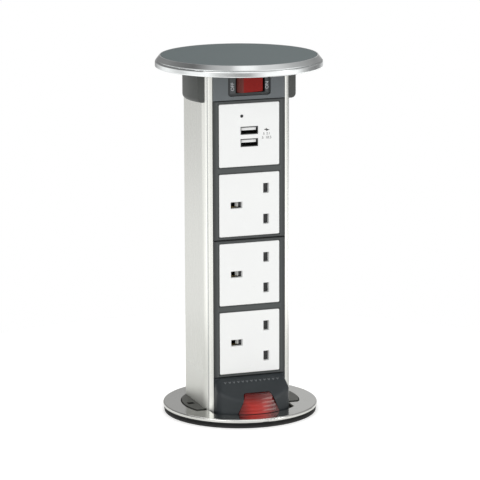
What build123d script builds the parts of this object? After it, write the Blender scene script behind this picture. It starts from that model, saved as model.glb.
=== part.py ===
from build123d import *
import os
from math import cos, radians, sin, sqrt

# Pull-up socket tower for a desk, shown raised, in millimetres.
# The origin is on the tower's axis, on the desk top. +Z is up, the sockets face -Y, +X is to their right.
# A name that ends in _out is a distance in front of the axis, so it lies at y = -value.
# A name that ends in _y is a place along +Y, and one that ends in _z is a height above the desk top.

os.makedirs("parts", exist_ok=True)

# Clearances shared by the fits
slip = 0.2
joint_line = 0.3
screw_gap = 0.05

# Desk level: gasket, barrel collar and trim ring lie on the desk top, one on the other
gasket_thick = 1.5
gasket_inset = 0.9
collar_thick = 2.3
collar_inset = 0.6
collar_line_deep = 0.35
collar_line_high = 0.3
ring_thick = 2.5
ring_flange = 6.2
ring_edge_r = 0.9
ring_foot_edge = 0.3
aperture_gap = 0.8
ear_lap = 1.75
ear_back_out = 18.0
notch_wide = 4.6
notch_high = 1.1
notch_deep = 1.2
ring_screw_inset = 3.5
ring_screw_count = 4
ring_screw_r = 1.2
ring_screw_head_r = 2.2
ring_screw_reach = 3.8

# Barrel under the desk, with the clamping ring on it
desk_thick = 25.0
barrel_bore_gap = 0.6
barrel_wall = 2.6
thread_rise = 1.7
thread_deep = 1.1
thread_pitch = 3.0
thread_turns = 19
thread_start = 2.0
thread_end = 3.0
landing_gap = 4.0
nut_gap = 0.3
washer_lip = 3.0
washer_thick = 2.0
nut_wall = 7.2
nut_high = 14.0
nut_lobe_r = 4.0
nut_lobe_count = 12
end_plate_thick = 3.0
spigot_wall = 5.0
spigot_high = 10.0
outlet_r = 7.0
outlet_boss_r = 12.0
end_screw_count = 4
end_screw_turn = 45.0
end_screw_r = 1.4
end_screw_head_r = 2.9
end_screw_head_high = 1.6
end_screw_reach = 6.0

# Column: a D-shaped extrusion with a channel for the modules in its front
side_inset = 9.7
column_out = 21.0
column_corner_r = 8.0
column_back_r = 1.0
column_wall = 1.8
column_sunk = 24.0
channel_side = 5.4
rail_thick = 2.0
rail_reach = 2.6
corner_line_r = 0.35
corner_line_turn = 45.0
port_r = 3.2
port_hole_r = 1.35
side_port_in = 2.9
side_port_y = 7.0
back_port_x = 15.0
back_port_in = 7.0

# Modules: 45 mm fronts on a 50 mm pitch, two to a frame
modules_per_frame = 2
module_gap = 5.0
panel_size = 45.0
panel_corner_r = 0.9
panel_edge_r = 0.5
panel_proud = 0.7
panel_thick = 3.4
frame_proud = 0.3
frame_deep = 6.8
frame_rim = 4.3
frame_edge_r = 0.7
ledge_wide = 0.9

# Socket fronts: pin places of the rotated 13 A pattern, about a module's centre
live_pin_x = 12.5
live_pin_rise = 11.1
earth_pin_x = -9.7
live_hole_wide = 4.4
live_hole_high = 7.2
earth_hole_wide = 8.8
earth_hole_high = 4.8

# Socket bodies and shutters behind the fronts
housing_inset = 1.0
housing_deep = 34.8
housing_back_cut = 8.0
housing_back_wall = 2.5
shutter_room = 2.0
shutter_thick = 1.6
shutter_lap = 0.5
shutter_end_lap = 0.7
shutter_clear = 0.3
shutter_spine_rise = 4.0
shutter_tooth_tip_x = -9.4
shutter_tooth_rise = 1.6
shutter_tooth_wide = 4.0
spring_slot_rise = 1.7
spring_slot_start_x = -2.0
spring_post_x = 5.5
spring_post_wide = 1.5
shutter_spring_r = 0.6
shutter_spring_wire_r = 0.15
shutter_spring_turns = 7

# Contacts and the copper strips that feed them
contact_gap = 4.3
contact_thick = 0.7
live_contact_rise = 2.6
earth_contact_reach = 3.2
contact_front_out = 14.4
live_contact_floor_y = 2.0
earth_contact_floor_y = 6.0
contact_back_thick = 1.0
live_pocket_rise = 4.0
earth_pocket_reach = 4.8
pocket_side_gap = 0.2
tail_shift = 2.4
tail_thick = 1.0
tail_rise = 2.0
strip_gap = 1.5
strip_step_y = 3.0
strip_thick = 1.2
strip_wide = 3.0
strip_spare = 3.0
strip_in_block = 6.0

# USB front, its ports, charger board and case
usb_port_drops = (19.4, 28.1)
usb_port_wide = 13.2
usb_port_high = 5.8
usb_shell_gap = 0.1
usb_shell_wall = 0.35
usb_shell_inset = 0.2
usb_tongue_wide = 11.0
usb_tongue_thick = 1.9
usb_tongue_inset = 1.4
usb_tongue_top_gap = 0.55
usb_board_out = 5.0
usb_board_thick = 1.6
usb_board_gap = 0.5
usb_case_wall = 1.5
usb_case_deep = 27.3
usb_post_r = 2.5
usb_post_place = 15.5
charger_block_wide = 16.0
charger_block_high = 13.0
charger_block_deep = 8.0
charger_block_x = -8.0
charger_block_drop = 5.5
capacitor_r = 4.0
capacitor_deep = 9.0
capacitor_x = 8.0
capacitor_rise = 6.0
led_x = -5.6
led_drop = 8.9
led_hole_r = 1.2
led_r = 1.1
led_long = 4.6
led_inset = 0.1
led_leg_r = 0.25
led_leg_spread = 0.6

# Head of the column: switch panel with its recessed bezel and rocker
head_high = 22.0
head_panel_thick = 5.0
bezel_x = 0.3
bezel_wide = 31.4
bezel_high = 18.0
bezel_corner_r = 2.0
bezel_sunk = 1.0
bezel_thick = 2.0
bezel_rise = 11.9
window_x = 1.3
window_wide = 21.6
window_high = 14.2
switch_side_wall = 1.9
switch_end_wall = 1.6
switch_body_deep = 21.3
switch_cavity_deep = 6.6
rocker_pivot_deep = 4.1
rocker_side_gap = 0.7
rocker_front = 5.9
rocker_back = 2.0
rocker_end_gap = 0.4
rocker_edge_r = 0.6
rocker_tilt = 12.0
rocker_pin_r = 1.1
rocker_pin_bite = 1.1
terminal_blade_wide = 6.3
terminal_blade_thick = 0.8
terminal_blade_long = 8.0
terminal_blade_pitch = 7.5
terminal_blade_count = 3

# Side grips under the lid
grip_inset = 2.0
grip_front_out = 16.6
grip_end_wall = 1.5
grip_high = 24.7
grip_low_edge_r = 3.0
grip_screw_y = -3.0
grip_screw_low = 8.0
grip_screw_pitch = 9.0
grip_screw_r = 1.4
grip_screw_head_r = 2.8
grip_screw_head_high = 1.8
grip_screw_reach = 6.0

# Lid: turned rim, flush disc, and the plug that ties it to the column
lid_gap = 0.7
carrier_thick = 1.5
carrier_plug_deep = 8.0
carrier_plug_front_y = 22.0
lid_plate_thick = 3.2
lid_lip_gap = 1.0
lid_skirt_wall = 2.8
lid_lip_drop = 2.3
lid_rim_wide = 4.0
lid_disc_gap = 0.2
lid_disc_thick = 2.5
lid_crown_wide = 0.7
lid_step_in = 0.8
lid_step_drop = 3.1
lid_groove_deep = 0.5
lid_groove_high = 0.5
lid_band_round = 1.1
lid_lip_round = 0.7
cap_screw_r = 1.3
cap_screw_head_r = 3.0
cap_screw_head_high = 1.6
cap_screw_reach = 14.0

# Foot that runs in the barrel, with the up-stop skirt
stop_gap = 0.3
stop_wide = 2.4
foot_skirt_wall = 2.2
foot_plate_thick = 3.0
foot_floor_thick = 4.0
foot_skirt_below = 7.0
land_proud = 0.7
land_front_out = 17.2
land_hole_in = 4.8
land_hole_y = 1.0
land_hole_size = 5.0
land_hole_deep = 3.0
foot_screw_r = 1.3
foot_screw_head_r = 2.8
foot_screw_head_high = 2.0
foot_screw_reach = 10.0

# Sloped cover at the foot and the release tab in it
cover_high = 26.0
cover_side_gap = 0.9
cover_flare = 1.0
cover_flare_drop = 12.0
cover_inset = 1.2
cover_wall = 2.2
cover_slope_drop = 14.2
cover_corner_r = 8.0
cover_edge_r = 4.0
cover_back_wall = 1.2
cover_boss_in = 3.9
cover_boss_out = 27.0
cover_boss_r = 3.2
cover_boss_high = 10.0
cover_screw_r = 1.2
cover_screw_head_r = 2.6
cover_screw_head_high = 1.8
cover_screw_reach = 7.0
tab_x = 0.8
tab_base_half = 15.4
tab_top_half = 9.6
tab_corner_r = 1.8
tab_base_rise = 0.3
tab_high = 13.2
tab_gap = 0.35
tab_proud = 1.0
tab_lean = 3.2
tab_rib_count = 5
tab_rib_height = 0.55
tab_travel = 4.0
tab_flange_thick = 1.6
tab_flange_lap = 3.0
tab_flange_low_rise = -1.8
tab_flange_high_rise = 10.0
release_spring_r = 2.6
release_spring_wire_r = 0.35
release_spring_turns = 5
tab_spring_rise = 4.0

# Supply inlet: gland on the axis, and the terminal block behind it
gland_thread_r = 7.9
gland_hex_across = 22.0
gland_hex_high = 6.0
gland_dome_r = 10.4
gland_dome_high = 14.0
gland_dome_round = 3.0
gland_lead_r = 4.2
gland_nut_high = 5.0
gland_nut_gap = 0.1
gland_thread_spare = 1.0
block_wide = 38.0
block_x = 2.0
block_deep = 13.0
block_high = 20.0
block_front_in = 3.5
block_slot_gap = 0.3
block_screw_r = 1.5
block_screw_head_r = 2.2

# Directions used by name
to_front = (0, -1, 0)
to_right = (1, 0, 0)

# Column sizes that follow from the module fronts it holds
module_pitch = panel_size + module_gap
frame_half = panel_size / 2 + frame_rim
channel_half = frame_half + joint_line
column_half = channel_half + channel_side
envelope_r = column_half + side_inset
rail_half = channel_half - rail_reach
ear_inner_x = column_half - ear_lap
side_port_x = column_half - column_wall - side_port_in
back_port_y = envelope_r - back_port_in

# Radii that follow from the tower's envelope, one round the other
foot_skirt_r = envelope_r + stop_wide
barrel_bore_r = foot_skirt_r + barrel_bore_gap
barrel_r = barrel_bore_r + barrel_wall
thread_r = barrel_r + thread_rise
thread_root_r = thread_r - thread_deep
ring_r = thread_r + ring_flange
collar_r = ring_r - collar_inset
gasket_r = ring_r - gasket_inset
ring_screw_circle_r = ring_r - ring_screw_inset
nut_bore_r = thread_r + nut_gap
nut_r = nut_bore_r + nut_wall
washer_r = nut_r + washer_lip
aperture_r = envelope_r + aperture_gap
grip_r = envelope_r - grip_inset
grip_back_y = sqrt(grip_r**2 - (column_half + grip_end_wall) ** 2)
cover_r = envelope_r - cover_inset
tab_base_r = cover_r + tab_proud
tab_top_r = tab_base_r - tab_lean
lid_skirt_inner_r = ring_r + lid_lip_gap
lid_r = lid_skirt_inner_r + lid_skirt_wall
lid_seat_r = lid_r - lid_rim_wide
lid_disc_r = lid_seat_r - lid_disc_gap
lid_crown_r = lid_seat_r + lid_crown_wide
lid_step_r = lid_r - lid_step_in
thread_long = thread_start + thread_pitch * thread_turns + thread_end

# Widths and depths that follow from the column's front
panel_out = column_out + panel_proud
frame_out = column_out + frame_proud
housing_size = panel_size - 2 * housing_inset
bezel_out = frame_out - bezel_sunk
switch_body_wide = window_wide + 2 * switch_side_wall
switch_body_high = window_high + 2 * switch_end_wall
rocker_pivot_out = bezel_out - rocker_pivot_deep
rocker_end_r = window_wide / 2 - rocker_side_gap
rocker_high = window_high - 2 * rocker_end_gap
rocker_pin_reach = window_high / 2 + rocker_pin_bite
shutter_blade_wide = live_hole_wide + 2 * shutter_lap
shutter_blade_rise = live_pin_rise + live_hole_high / 2 + shutter_end_lap
shutter_travel = (live_hole_wide + shutter_blade_wide) / 2 + shutter_clear
land_hole_x = -column_half - land_hole_in
cover_top_half = channel_half - cover_side_gap
cover_half = cover_top_half + cover_flare
cover_boss_x = cover_half - cover_boss_in
tab_flange_half = tab_base_half + tab_flange_lap

# Heights that follow from the stack
collar_z = gasket_thick
ring_z = collar_z + collar_thick
ring_top_z = ring_z + ring_thick
foot_top_z = ring_z - stop_gap
land_top_z = ring_top_z + land_proud
cover_top_z = foot_top_z + cover_high
frame_high = modules_per_frame * module_pitch
frame_base_z = (cover_top_z, cover_top_z + frame_high)
head_base_z = cover_top_z + len(frame_base_z) * frame_high
column_top_z = head_base_z + head_high
column_base_z = -column_sunk
lid_under_z = column_top_z + carrier_thick
lid_seat_z = lid_under_z + lid_plate_thick
lid_top_z = lid_seat_z + lid_disc_thick
lid_lip_z = lid_under_z - lid_lip_drop
lift_travel = lid_under_z - ring_top_z - lid_gap
foot_floor_z = column_base_z - foot_floor_thick
foot_base_z = foot_floor_z - foot_skirt_below
gland_tip_z = foot_floor_z - gland_hex_high - gland_dome_high
barrel_base_z = gland_tip_z - lift_travel - landing_gap - spigot_high
grip_top_z = lid_under_z
grip_base_z = grip_top_z - grip_high

# Places of the modules and of what lies behind them
module_centres = [base + module_pitch * (step + 0.5) for base in frame_base_z for step in range(modules_per_frame)]
usb_centre_z = module_centres[-1]
socket_centres = module_centres[-2::-1]
usb_top_z = usb_centre_z + panel_size / 2
panel_back_out = panel_out - panel_thick
frame_back_out = frame_out - frame_deep
shutter_floor_out = panel_back_out - shutter_room
shutter_front_out = panel_back_out - (shutter_room - shutter_thick) / 2
housing_back_y = housing_deep - panel_back_out
strip_front_y = housing_back_y + strip_gap
block_front_y = strip_front_y - block_front_in
shutter_blade_x = live_pin_x
shutter_pocket_left = earth_pin_x - earth_hole_wide / 2 - slip
shutter_pocket_right = shutter_blade_x + shutter_blade_wide / 2 + shutter_travel + joint_line
window_z = head_base_z + bezel_rise
port_places = [
    (side_port_x, side_port_y),
    (-side_port_x, side_port_y),
    (back_port_x, back_port_y),
    (-back_port_x, back_port_y),
]


def tower_section(grow):
    """The tower's D-shaped outline, moved outwards by grow."""
    half = column_half + grow
    back = envelope_r + grow
    side_y = sqrt(back**2 - half**2)
    with BuildSketch() as section:
        with BuildLine():
            Polyline(
                (half, side_y),
                (half, -column_out - grow),
                (-half, -column_out - grow),
                (-half, side_y),
            )
            ThreePointArc((-half, side_y), (0, back), (half, side_y))
        make_face()
        fillet(section.vertices().group_by(Axis.Y)[0], column_corner_r + grow)
        fillet(section.vertices().sort_by(Axis.Y)[-2:], column_back_r)
    return section.sketch


def aperture_section():
    """The trim ring's opening: a circle with an ear of metal each side of the front."""
    ear_size = aperture_r
    ear_mid_x = ear_inner_x + ear_size / 2
    ear_mid_y = -ear_back_out - ear_size / 2
    with BuildSketch() as section:
        Circle(aperture_r)
        with Locations((ear_mid_x, ear_mid_y), (-ear_mid_x, ear_mid_y)):
            Rectangle(ear_size, ear_size, mode=Mode.SUBTRACT)
        add(tower_gap_face)
    return section.sketch


def make_spring(label, start, direction, long, coil_r, wire_r, turns):
    """A round wire wound into an open coil from start, made and written under its label."""
    with BuildPart() as spring:
        with BuildLine() as wire_path:
            Helix(long / turns, long, coil_r, center=start, direction=direction)
        with BuildSketch(Plane(origin=wire_path.line @ 0, z_dir=wire_path.line % 0)):
            Circle(wire_r)
        sweep(path=wire_path.line, is_frenet=True)
    spring.part.label = label
    export_step(spring.part, f"parts/{label}.step")


tower_face = tower_section(0)
tower_bore_face = tower_section(-column_wall)
tower_fit_face = tower_section(slip)
tower_gap_face = tower_section(aperture_gap)
aperture_face = aperture_section()

# Gasket between the collar and the desk
with BuildPart() as desk_gasket:
    with BuildSketch():
        Circle(gasket_r)
        Circle(thread_r + slip, mode=Mode.SUBTRACT)
    extrude(amount=gasket_thick)
desk_gasket.part.label = "desk_gasket"
export_step(desk_gasket.part, "parts/desk_gasket.step")

# Barrel: collar on the desk, threaded length for the clamp, long plain tube below
collar_mid_z = collar_z + collar_thick / 2
end_screw_z = barrel_base_z + spigot_high / 2
thread_flank = thread_pitch / 4
with BuildPart() as housing_barrel:
    with BuildSketch(Plane.XZ):
        with BuildLine():
            Polyline(
                (barrel_bore_r, ring_z),
                (collar_r, ring_z),
                (collar_r, collar_mid_z + collar_line_high / 2),
                (collar_r - collar_line_deep, collar_mid_z),
                (collar_r, collar_mid_z - collar_line_high / 2),
                (collar_r, collar_z),
                (thread_r, collar_z),
                (thread_r, -thread_long),
                (barrel_r, -thread_long - thread_r + barrel_r),
                (barrel_r, barrel_base_z),
                (barrel_bore_r, barrel_base_z),
                close=True,
            )
        make_face()
    revolve(axis=Axis.Z)
    with BuildSketch(Plane.XZ):
        for groove in range(thread_turns):
            groove_z = -thread_start - thread_pitch * groove
            with BuildLine():
                Polyline(
                    (thread_r, groove_z),
                    (thread_root_r, groove_z - thread_flank),
                    (thread_root_r, groove_z - 2 * thread_flank),
                    (thread_r, groove_z - 3 * thread_flank),
                    close=True,
                )
            make_face()
    revolve(axis=Axis.Z, mode=Mode.SUBTRACT)
    with BuildSketch(Plane.XY.offset(collar_z)):
        with PolarLocations(ring_screw_circle_r, ring_screw_count, start_angle=180 / ring_screw_count):
            Circle(ring_screw_r + screw_gap)
    extrude(amount=collar_thick, mode=Mode.SUBTRACT)
    with PolarLocations(ring_screw_circle_r, ring_screw_count, start_angle=180 / ring_screw_count):
        with Locations((0, 0, collar_z)):
            Cone(
                ring_screw_head_r + screw_gap,
                ring_screw_r + screw_gap,
                ring_screw_head_r - ring_screw_r,
                align=(Align.CENTER, Align.CENTER, Align.MIN),
                mode=Mode.SUBTRACT,
            )
    for turn in range(end_screw_count):
        with BuildSketch(Plane.XZ.rotated((0, 0, end_screw_turn + 360 / end_screw_count * turn))):
            with Locations((0, end_screw_z)):
                Circle(end_screw_r + slip)
        extrude(amount=barrel_r, mode=Mode.SUBTRACT)
housing_barrel.part.label = "housing_barrel"
export_step(housing_barrel.part, "parts/housing_barrel.step")

# Trim ring: stainless plate with a rolled edge, the shaped opening and a pry notch under its front edge
with BuildPart() as trim_ring:
    with BuildSketch(Plane.XZ) as ring_profile:
        with Locations((ring_r / 2, ring_z + ring_thick / 2)):
            Rectangle(ring_r, ring_thick)
        outer_corners = ring_profile.vertices().group_by(Axis.X)[-1].sort_by(Axis.Y)
        fillet(outer_corners[-1], ring_edge_r)
        chamfer(ring_profile.vertices().group_by(Axis.Y)[0].sort_by(Axis.X)[-1], ring_foot_edge)
    revolve(axis=Axis.Z)
    with BuildSketch(Plane.XY.offset(ring_z)):
        add(aperture_face)
    extrude(amount=ring_thick, mode=Mode.SUBTRACT)
    with BuildSketch(Plane.XZ.offset(ring_r)):
        with Locations((0, ring_z)):
            SlotOverall(notch_wide, 2 * notch_high)
    extrude(amount=-notch_deep, mode=Mode.SUBTRACT)
    with BuildSketch(Plane.XY.offset(ring_z)):
        with PolarLocations(ring_screw_circle_r, ring_screw_count, start_angle=180 / ring_screw_count):
            Circle(ring_screw_r + screw_gap)
    extrude(amount=collar_z + ring_screw_reach + slip - ring_z, mode=Mode.SUBTRACT)
trim_ring.part.label = "trim_ring"
export_step(trim_ring.part, "parts/trim_ring.step")

# Countersunk screws that pull the ring down onto the collar, under the gasket
with BuildPart() as trim_ring_screws:
    with PolarLocations(ring_screw_circle_r, ring_screw_count, start_angle=180 / ring_screw_count):
        with Locations((0, 0, collar_z)):
            Cylinder(ring_screw_r, ring_screw_reach, align=(Align.CENTER, Align.CENTER, Align.MIN))
            Cone(
                ring_screw_head_r,
                ring_screw_r,
                ring_screw_head_r - ring_screw_r,
                align=(Align.CENTER, Align.CENTER, Align.MIN),
            )
trim_ring_screws.part.label = "trim_ring_screws"
export_step(trim_ring_screws.part, "parts/trim_ring_screws.step")

# End cap with a spigot in the barrel and a bushed outlet for the supply lead
spigot_r = barrel_bore_r - slip
with BuildPart() as barrel_end_cap:
    with BuildSketch(Plane.XY.offset(barrel_base_z)):
        Circle(barrel_r)
    extrude(amount=-end_plate_thick)
    with BuildSketch(Plane.XY.offset(barrel_base_z)):
        Circle(spigot_r)
        Circle(spigot_r - spigot_wall, mode=Mode.SUBTRACT)
        Circle(outlet_boss_r)
    extrude(amount=spigot_high)
    with BuildSketch(Plane.XY.offset(barrel_base_z - end_plate_thick)):
        Circle(outlet_r)
    extrude(amount=end_plate_thick + spigot_high, mode=Mode.SUBTRACT)
    for turn in range(end_screw_count):
        end_screw_plane = Plane.XZ.rotated((0, 0, end_screw_turn + 360 / end_screw_count * turn)).offset(spigot_r)
        with BuildSketch(end_screw_plane):
            with Locations((0, end_screw_z)):
                Circle(end_screw_r + screw_gap)
        extrude(amount=-spigot_wall, mode=Mode.SUBTRACT)
barrel_end_cap.part.label = "barrel_end_cap"
export_step(barrel_end_cap.part, "parts/barrel_end_cap.step")

# Screws through the barrel wall into the end cap's spigot
with BuildPart() as end_cap_screws:
    for turn in range(end_screw_count):
        end_screw_plane = Plane.XZ.rotated((0, 0, end_screw_turn + 360 / end_screw_count * turn)).offset(barrel_r)
        with BuildSketch(end_screw_plane):
            with Locations((0, end_screw_z)):
                Circle(end_screw_head_r)
        extrude(amount=end_screw_head_high)
        with BuildSketch(end_screw_plane):
            with Locations((0, end_screw_z)):
                Circle(end_screw_r)
        extrude(amount=-end_screw_reach)
end_cap_screws.part.label = "end_cap_screws"
export_step(end_cap_screws.part, "parts/end_cap_screws.step")

# Washer and lobed ring nut that clamp the barrel to the desk's underside
with BuildPart() as pressure_washer:
    with BuildSketch(Plane.XY.offset(-desk_thick - washer_thick)):
        Circle(washer_r)
        Circle(nut_bore_r, mode=Mode.SUBTRACT)
    extrude(amount=washer_thick)
pressure_washer.part.label = "pressure_washer"
export_step(pressure_washer.part, "parts/pressure_washer.step")

with BuildPart() as ring_nut:
    with BuildSketch(Plane.XY.offset(-desk_thick - washer_thick - nut_high)):
        Circle(nut_r)
        with PolarLocations(nut_r, nut_lobe_count):
            Circle(nut_lobe_r)
        Circle(nut_bore_r, mode=Mode.SUBTRACT)
    extrude(amount=nut_high)
ring_nut.part.label = "ring_nut"
export_step(ring_nut.part, "parts/ring_nut.step")

# Column: the extrusion's section has the module rails and four screw ports in it
corner_centre_x = column_half - column_corner_r
corner_centre_out = column_out - column_corner_r
corner_line_x = corner_centre_x + column_corner_r * cos(radians(corner_line_turn))
corner_line_out = corner_centre_out + column_corner_r * sin(radians(corner_line_turn))
column_bore_half = column_half - column_wall
rail_mid_x = (rail_half + column_bore_half + column_wall / 2) / 2
rail_long = column_bore_half + column_wall / 2 - rail_half
rail_mid_y = -frame_back_out + rail_thick / 2
grip_screw_places = [grip_base_z + grip_screw_low + grip_screw_pitch * step for step in range(2)]
with BuildPart() as column_extrusion:
    with BuildSketch(Plane.XY.offset(column_base_z)):
        add(tower_face)
        add(tower_bore_face, mode=Mode.SUBTRACT)
        with Locations((rail_mid_x, rail_mid_y), (-rail_mid_x, rail_mid_y)):
            Rectangle(rail_long, rail_thick)
        with Locations(*port_places):
            Circle(port_r)
        with Locations(*port_places):
            Circle(port_hole_r, mode=Mode.SUBTRACT)
        with Locations((0, -(column_out + frame_back_out) / 2)):
            Rectangle(2 * channel_half, column_out - frame_back_out, mode=Mode.SUBTRACT)
        with Locations((corner_line_x, -corner_line_out), (-corner_line_x, -corner_line_out)):
            Circle(corner_line_r, mode=Mode.SUBTRACT)
    extrude(amount=column_top_z - column_base_z)
    with BuildSketch(Plane.YZ.offset(-column_half)):
        with Locations(*[(grip_screw_y, height) for height in grip_screw_places]):
            Circle(grip_screw_r + slip)
    extrude(amount=column_wall, mode=Mode.SUBTRACT)
    with BuildSketch(Plane.YZ.offset(column_half)):
        with Locations(*[(grip_screw_y, height) for height in grip_screw_places]):
            Circle(grip_screw_r + slip)
    extrude(amount=-column_wall, mode=Mode.SUBTRACT)
column_extrusion.part.label = "column_extrusion"
export_step(column_extrusion.part, "parts/column_extrusion.step")

# Side grips: blocks outside the flat sides, under the lid
for side, side_name in ((-1, "left"), (1, "right")):
    with BuildPart() as side_grip:
        with BuildSketch(Plane.XY.offset(grip_base_z)):
            Circle(grip_r)
            add(tower_face, mode=Mode.SUBTRACT)
            with Locations((side * grip_r / 2, (grip_back_y - grip_front_out) / 2)):
                Rectangle(grip_r, grip_back_y + grip_front_out, mode=Mode.INTERSECT)
        extrude(amount=grip_high)
        low_arcs = side_grip.edges().filter_by(GeomType.CIRCLE).group_by(Axis.Z)[0]
        fillet(low_arcs.sort_by(SortBy.RADIUS)[-1], min(grip_low_edge_r, (grip_r - column_half) / 2))
        with BuildSketch(Plane.YZ.offset(side * column_half)):
            with Locations(*[(grip_screw_y, height) for height in grip_screw_places]):
                Circle(grip_screw_r + screw_gap)
        extrude(amount=side * (grip_screw_reach - column_wall + slip), mode=Mode.SUBTRACT)
    side_grip.part.label = f"side_grip_{side_name}"
    export_step(side_grip.part, f"parts/side_grip_{side_name}.step")

with BuildPart() as side_grip_screws:
    for side in (-1, 1):
        with BuildSketch(Plane.YZ.offset(side * column_bore_half)):
            with Locations(*[(grip_screw_y, height) for height in grip_screw_places]):
                Circle(grip_screw_r)
        extrude(amount=side * grip_screw_reach)
        with BuildSketch(Plane.YZ.offset(side * column_bore_half)):
            with Locations(*[(grip_screw_y, height) for height in grip_screw_places]):
                Circle(grip_screw_head_r)
        extrude(amount=-side * grip_screw_head_high)
side_grip_screws.part.label = "side_grip_screws"
export_step(side_grip_screws.part, "parts/side_grip_screws.step")

# Lid carrier: a plate on the column's end with a plug inside its back
with BuildPart() as cap_carrier:
    with BuildSketch(Plane.XY.offset(column_top_z)):
        add(tower_face)
    extrude(amount=carrier_thick)
    with BuildSketch(Plane.XY.offset(column_top_z)):
        add(tower_section(-column_wall - slip))
        with Locations((0, carrier_plug_front_y + envelope_r / 2)):
            Rectangle(2 * column_half, envelope_r, mode=Mode.INTERSECT)
        with Locations(*port_places):
            Circle(port_r + slip, mode=Mode.SUBTRACT)
    extrude(amount=-carrier_plug_deep)
    with BuildSketch(Plane.XY.offset(column_top_z)):
        with Locations(*port_places):
            Circle(cap_screw_r + slip)
    extrude(amount=carrier_thick, mode=Mode.SUBTRACT)
cap_carrier.part.label = "cap_carrier"
export_step(cap_carrier.part, "parts/cap_carrier.step")

# Lid rim: bevelled crown, a fine step, and a rounded band whose lip drops over the trim ring
lid_step_z = lid_top_z - lid_step_drop
lid_band_z = lid_step_z - lid_groove_high
with BuildPart() as cap_rim:
    with BuildSketch(Plane.XZ) as rim_profile:
        with BuildLine():
            Polyline(
                (0, lid_seat_z),
                (lid_seat_r, lid_seat_z),
                (lid_seat_r, lid_top_z),
                (lid_crown_r, lid_top_z),
                (lid_step_r, lid_step_z),
                (lid_step_r - lid_groove_deep, lid_step_z),
                (lid_step_r - lid_groove_deep, lid_band_z),
                (lid_r, lid_band_z),
                (lid_r, lid_lip_z),
                (lid_skirt_inner_r, lid_lip_z),
                (lid_skirt_inner_r, lid_under_z),
                (0, lid_under_z),
                close=True,
            )
        make_face()
        outer_corners = rim_profile.vertices().group_by(Axis.X)[-1].sort_by(Axis.Y)
        fillet(outer_corners[-1], lid_band_round)
        outer_low_corner = rim_profile.vertices().group_by(Axis.Y)[0].sort_by(Axis.X)[-1]
        fillet(outer_low_corner, lid_lip_round)
    revolve(axis=Axis.Z)
    with BuildSketch(Plane.XY.offset(lid_under_z)):
        with Locations(*port_places):
            Circle(cap_screw_r + slip)
    extrude(amount=lid_plate_thick, mode=Mode.SUBTRACT)
    for place in port_places:
        with Locations((*place, lid_seat_z)):
            Cone(
                cap_screw_r + slip,
                cap_screw_head_r + slip,
                cap_screw_head_high,
                align=(Align.CENTER, Align.CENTER, Align.MAX),
                mode=Mode.SUBTRACT,
            )
cap_rim.part.label = "cap_rim"
export_step(cap_rim.part, "parts/cap_rim.step")

with BuildPart() as cap_disc:
    with BuildSketch(Plane.XY.offset(lid_seat_z)):
        Circle(lid_disc_r)
    extrude(amount=lid_disc_thick)
cap_disc.part.label = "cap_disc"
export_step(cap_disc.part, "parts/cap_disc.step")

with BuildPart() as cap_screws:
    for place in port_places:
        with Locations((*place, lid_seat_z)):
            Cone(
                cap_screw_r,
                cap_screw_head_r,
                cap_screw_head_high,
                align=(Align.CENTER, Align.CENTER, Align.MAX),
            )
            Cylinder(cap_screw_r, cap_screw_reach, align=(Align.CENTER, Align.CENTER, Align.MAX))
cap_screws.part.label = "cap_screws"
export_step(cap_screws.part, "parts/cap_screws.step")

# Switch panel: fills the head of the channel and holds the bezel in a recess
head_panel_base_z = head_base_z + joint_line / 2
head_panel_high = column_top_z - head_panel_base_z
head_panel_mid_z = head_panel_base_z + head_panel_high / 2
bezel_back_out = bezel_out - bezel_thick
head_lip_wide = frame_half - rail_half
with BuildPart() as switch_panel:
    with BuildSketch(Plane.XZ.offset(frame_out)):
        with Locations((0, head_panel_mid_z)):
            Rectangle(2 * frame_half, head_panel_high)
    extrude(amount=-head_panel_thick)
    with BuildSketch(Plane.XZ.offset(frame_out - head_panel_thick)):
        lip_mid_x = rail_half + head_lip_wide / 2
        with Locations((lip_mid_x, head_panel_mid_z), (-lip_mid_x, head_panel_mid_z)):
            Rectangle(head_lip_wide, head_panel_high)
    extrude(amount=-(frame_deep - head_panel_thick))
    with BuildSketch(Plane.XZ.offset(frame_out)):
        with Locations((bezel_x, window_z)):
            RectangleRounded(bezel_wide + 2 * slip, bezel_high + 2 * slip, bezel_corner_r + slip)
    extrude(amount=-(frame_out - bezel_back_out), mode=Mode.SUBTRACT)
    with BuildSketch(Plane.XZ.offset(bezel_back_out)):
        with Locations((window_x, window_z)):
            Rectangle(switch_body_wide + 2 * slip, switch_body_high + 2 * slip)
    extrude(amount=-head_panel_thick, mode=Mode.SUBTRACT)
    upright_edges = switch_panel.edges().filter_by(Axis.Z).group_by(Axis.Y)[0]
    fillet(upright_edges.sort_by(Axis.X)[0], frame_edge_r)
    upright_edges = switch_panel.edges().filter_by(Axis.Z).group_by(Axis.Y)[0]
    fillet(upright_edges.sort_by(Axis.X)[-1], frame_edge_r)
switch_panel.part.label = "switch_panel"
export_step(switch_panel.part, "parts/switch_panel.step")

with BuildPart() as switch_bezel:
    with BuildSketch(Plane.XZ.offset(bezel_out)):
        with Locations((bezel_x, window_z)):
            RectangleRounded(bezel_wide, bezel_high, bezel_corner_r)
        with Locations((window_x, window_z)):
            Rectangle(window_wide, window_high, mode=Mode.SUBTRACT)
    extrude(amount=-bezel_thick)
switch_bezel.part.label = "switch_bezel"
export_step(switch_bezel.part, "parts/switch_bezel.step")

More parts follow.
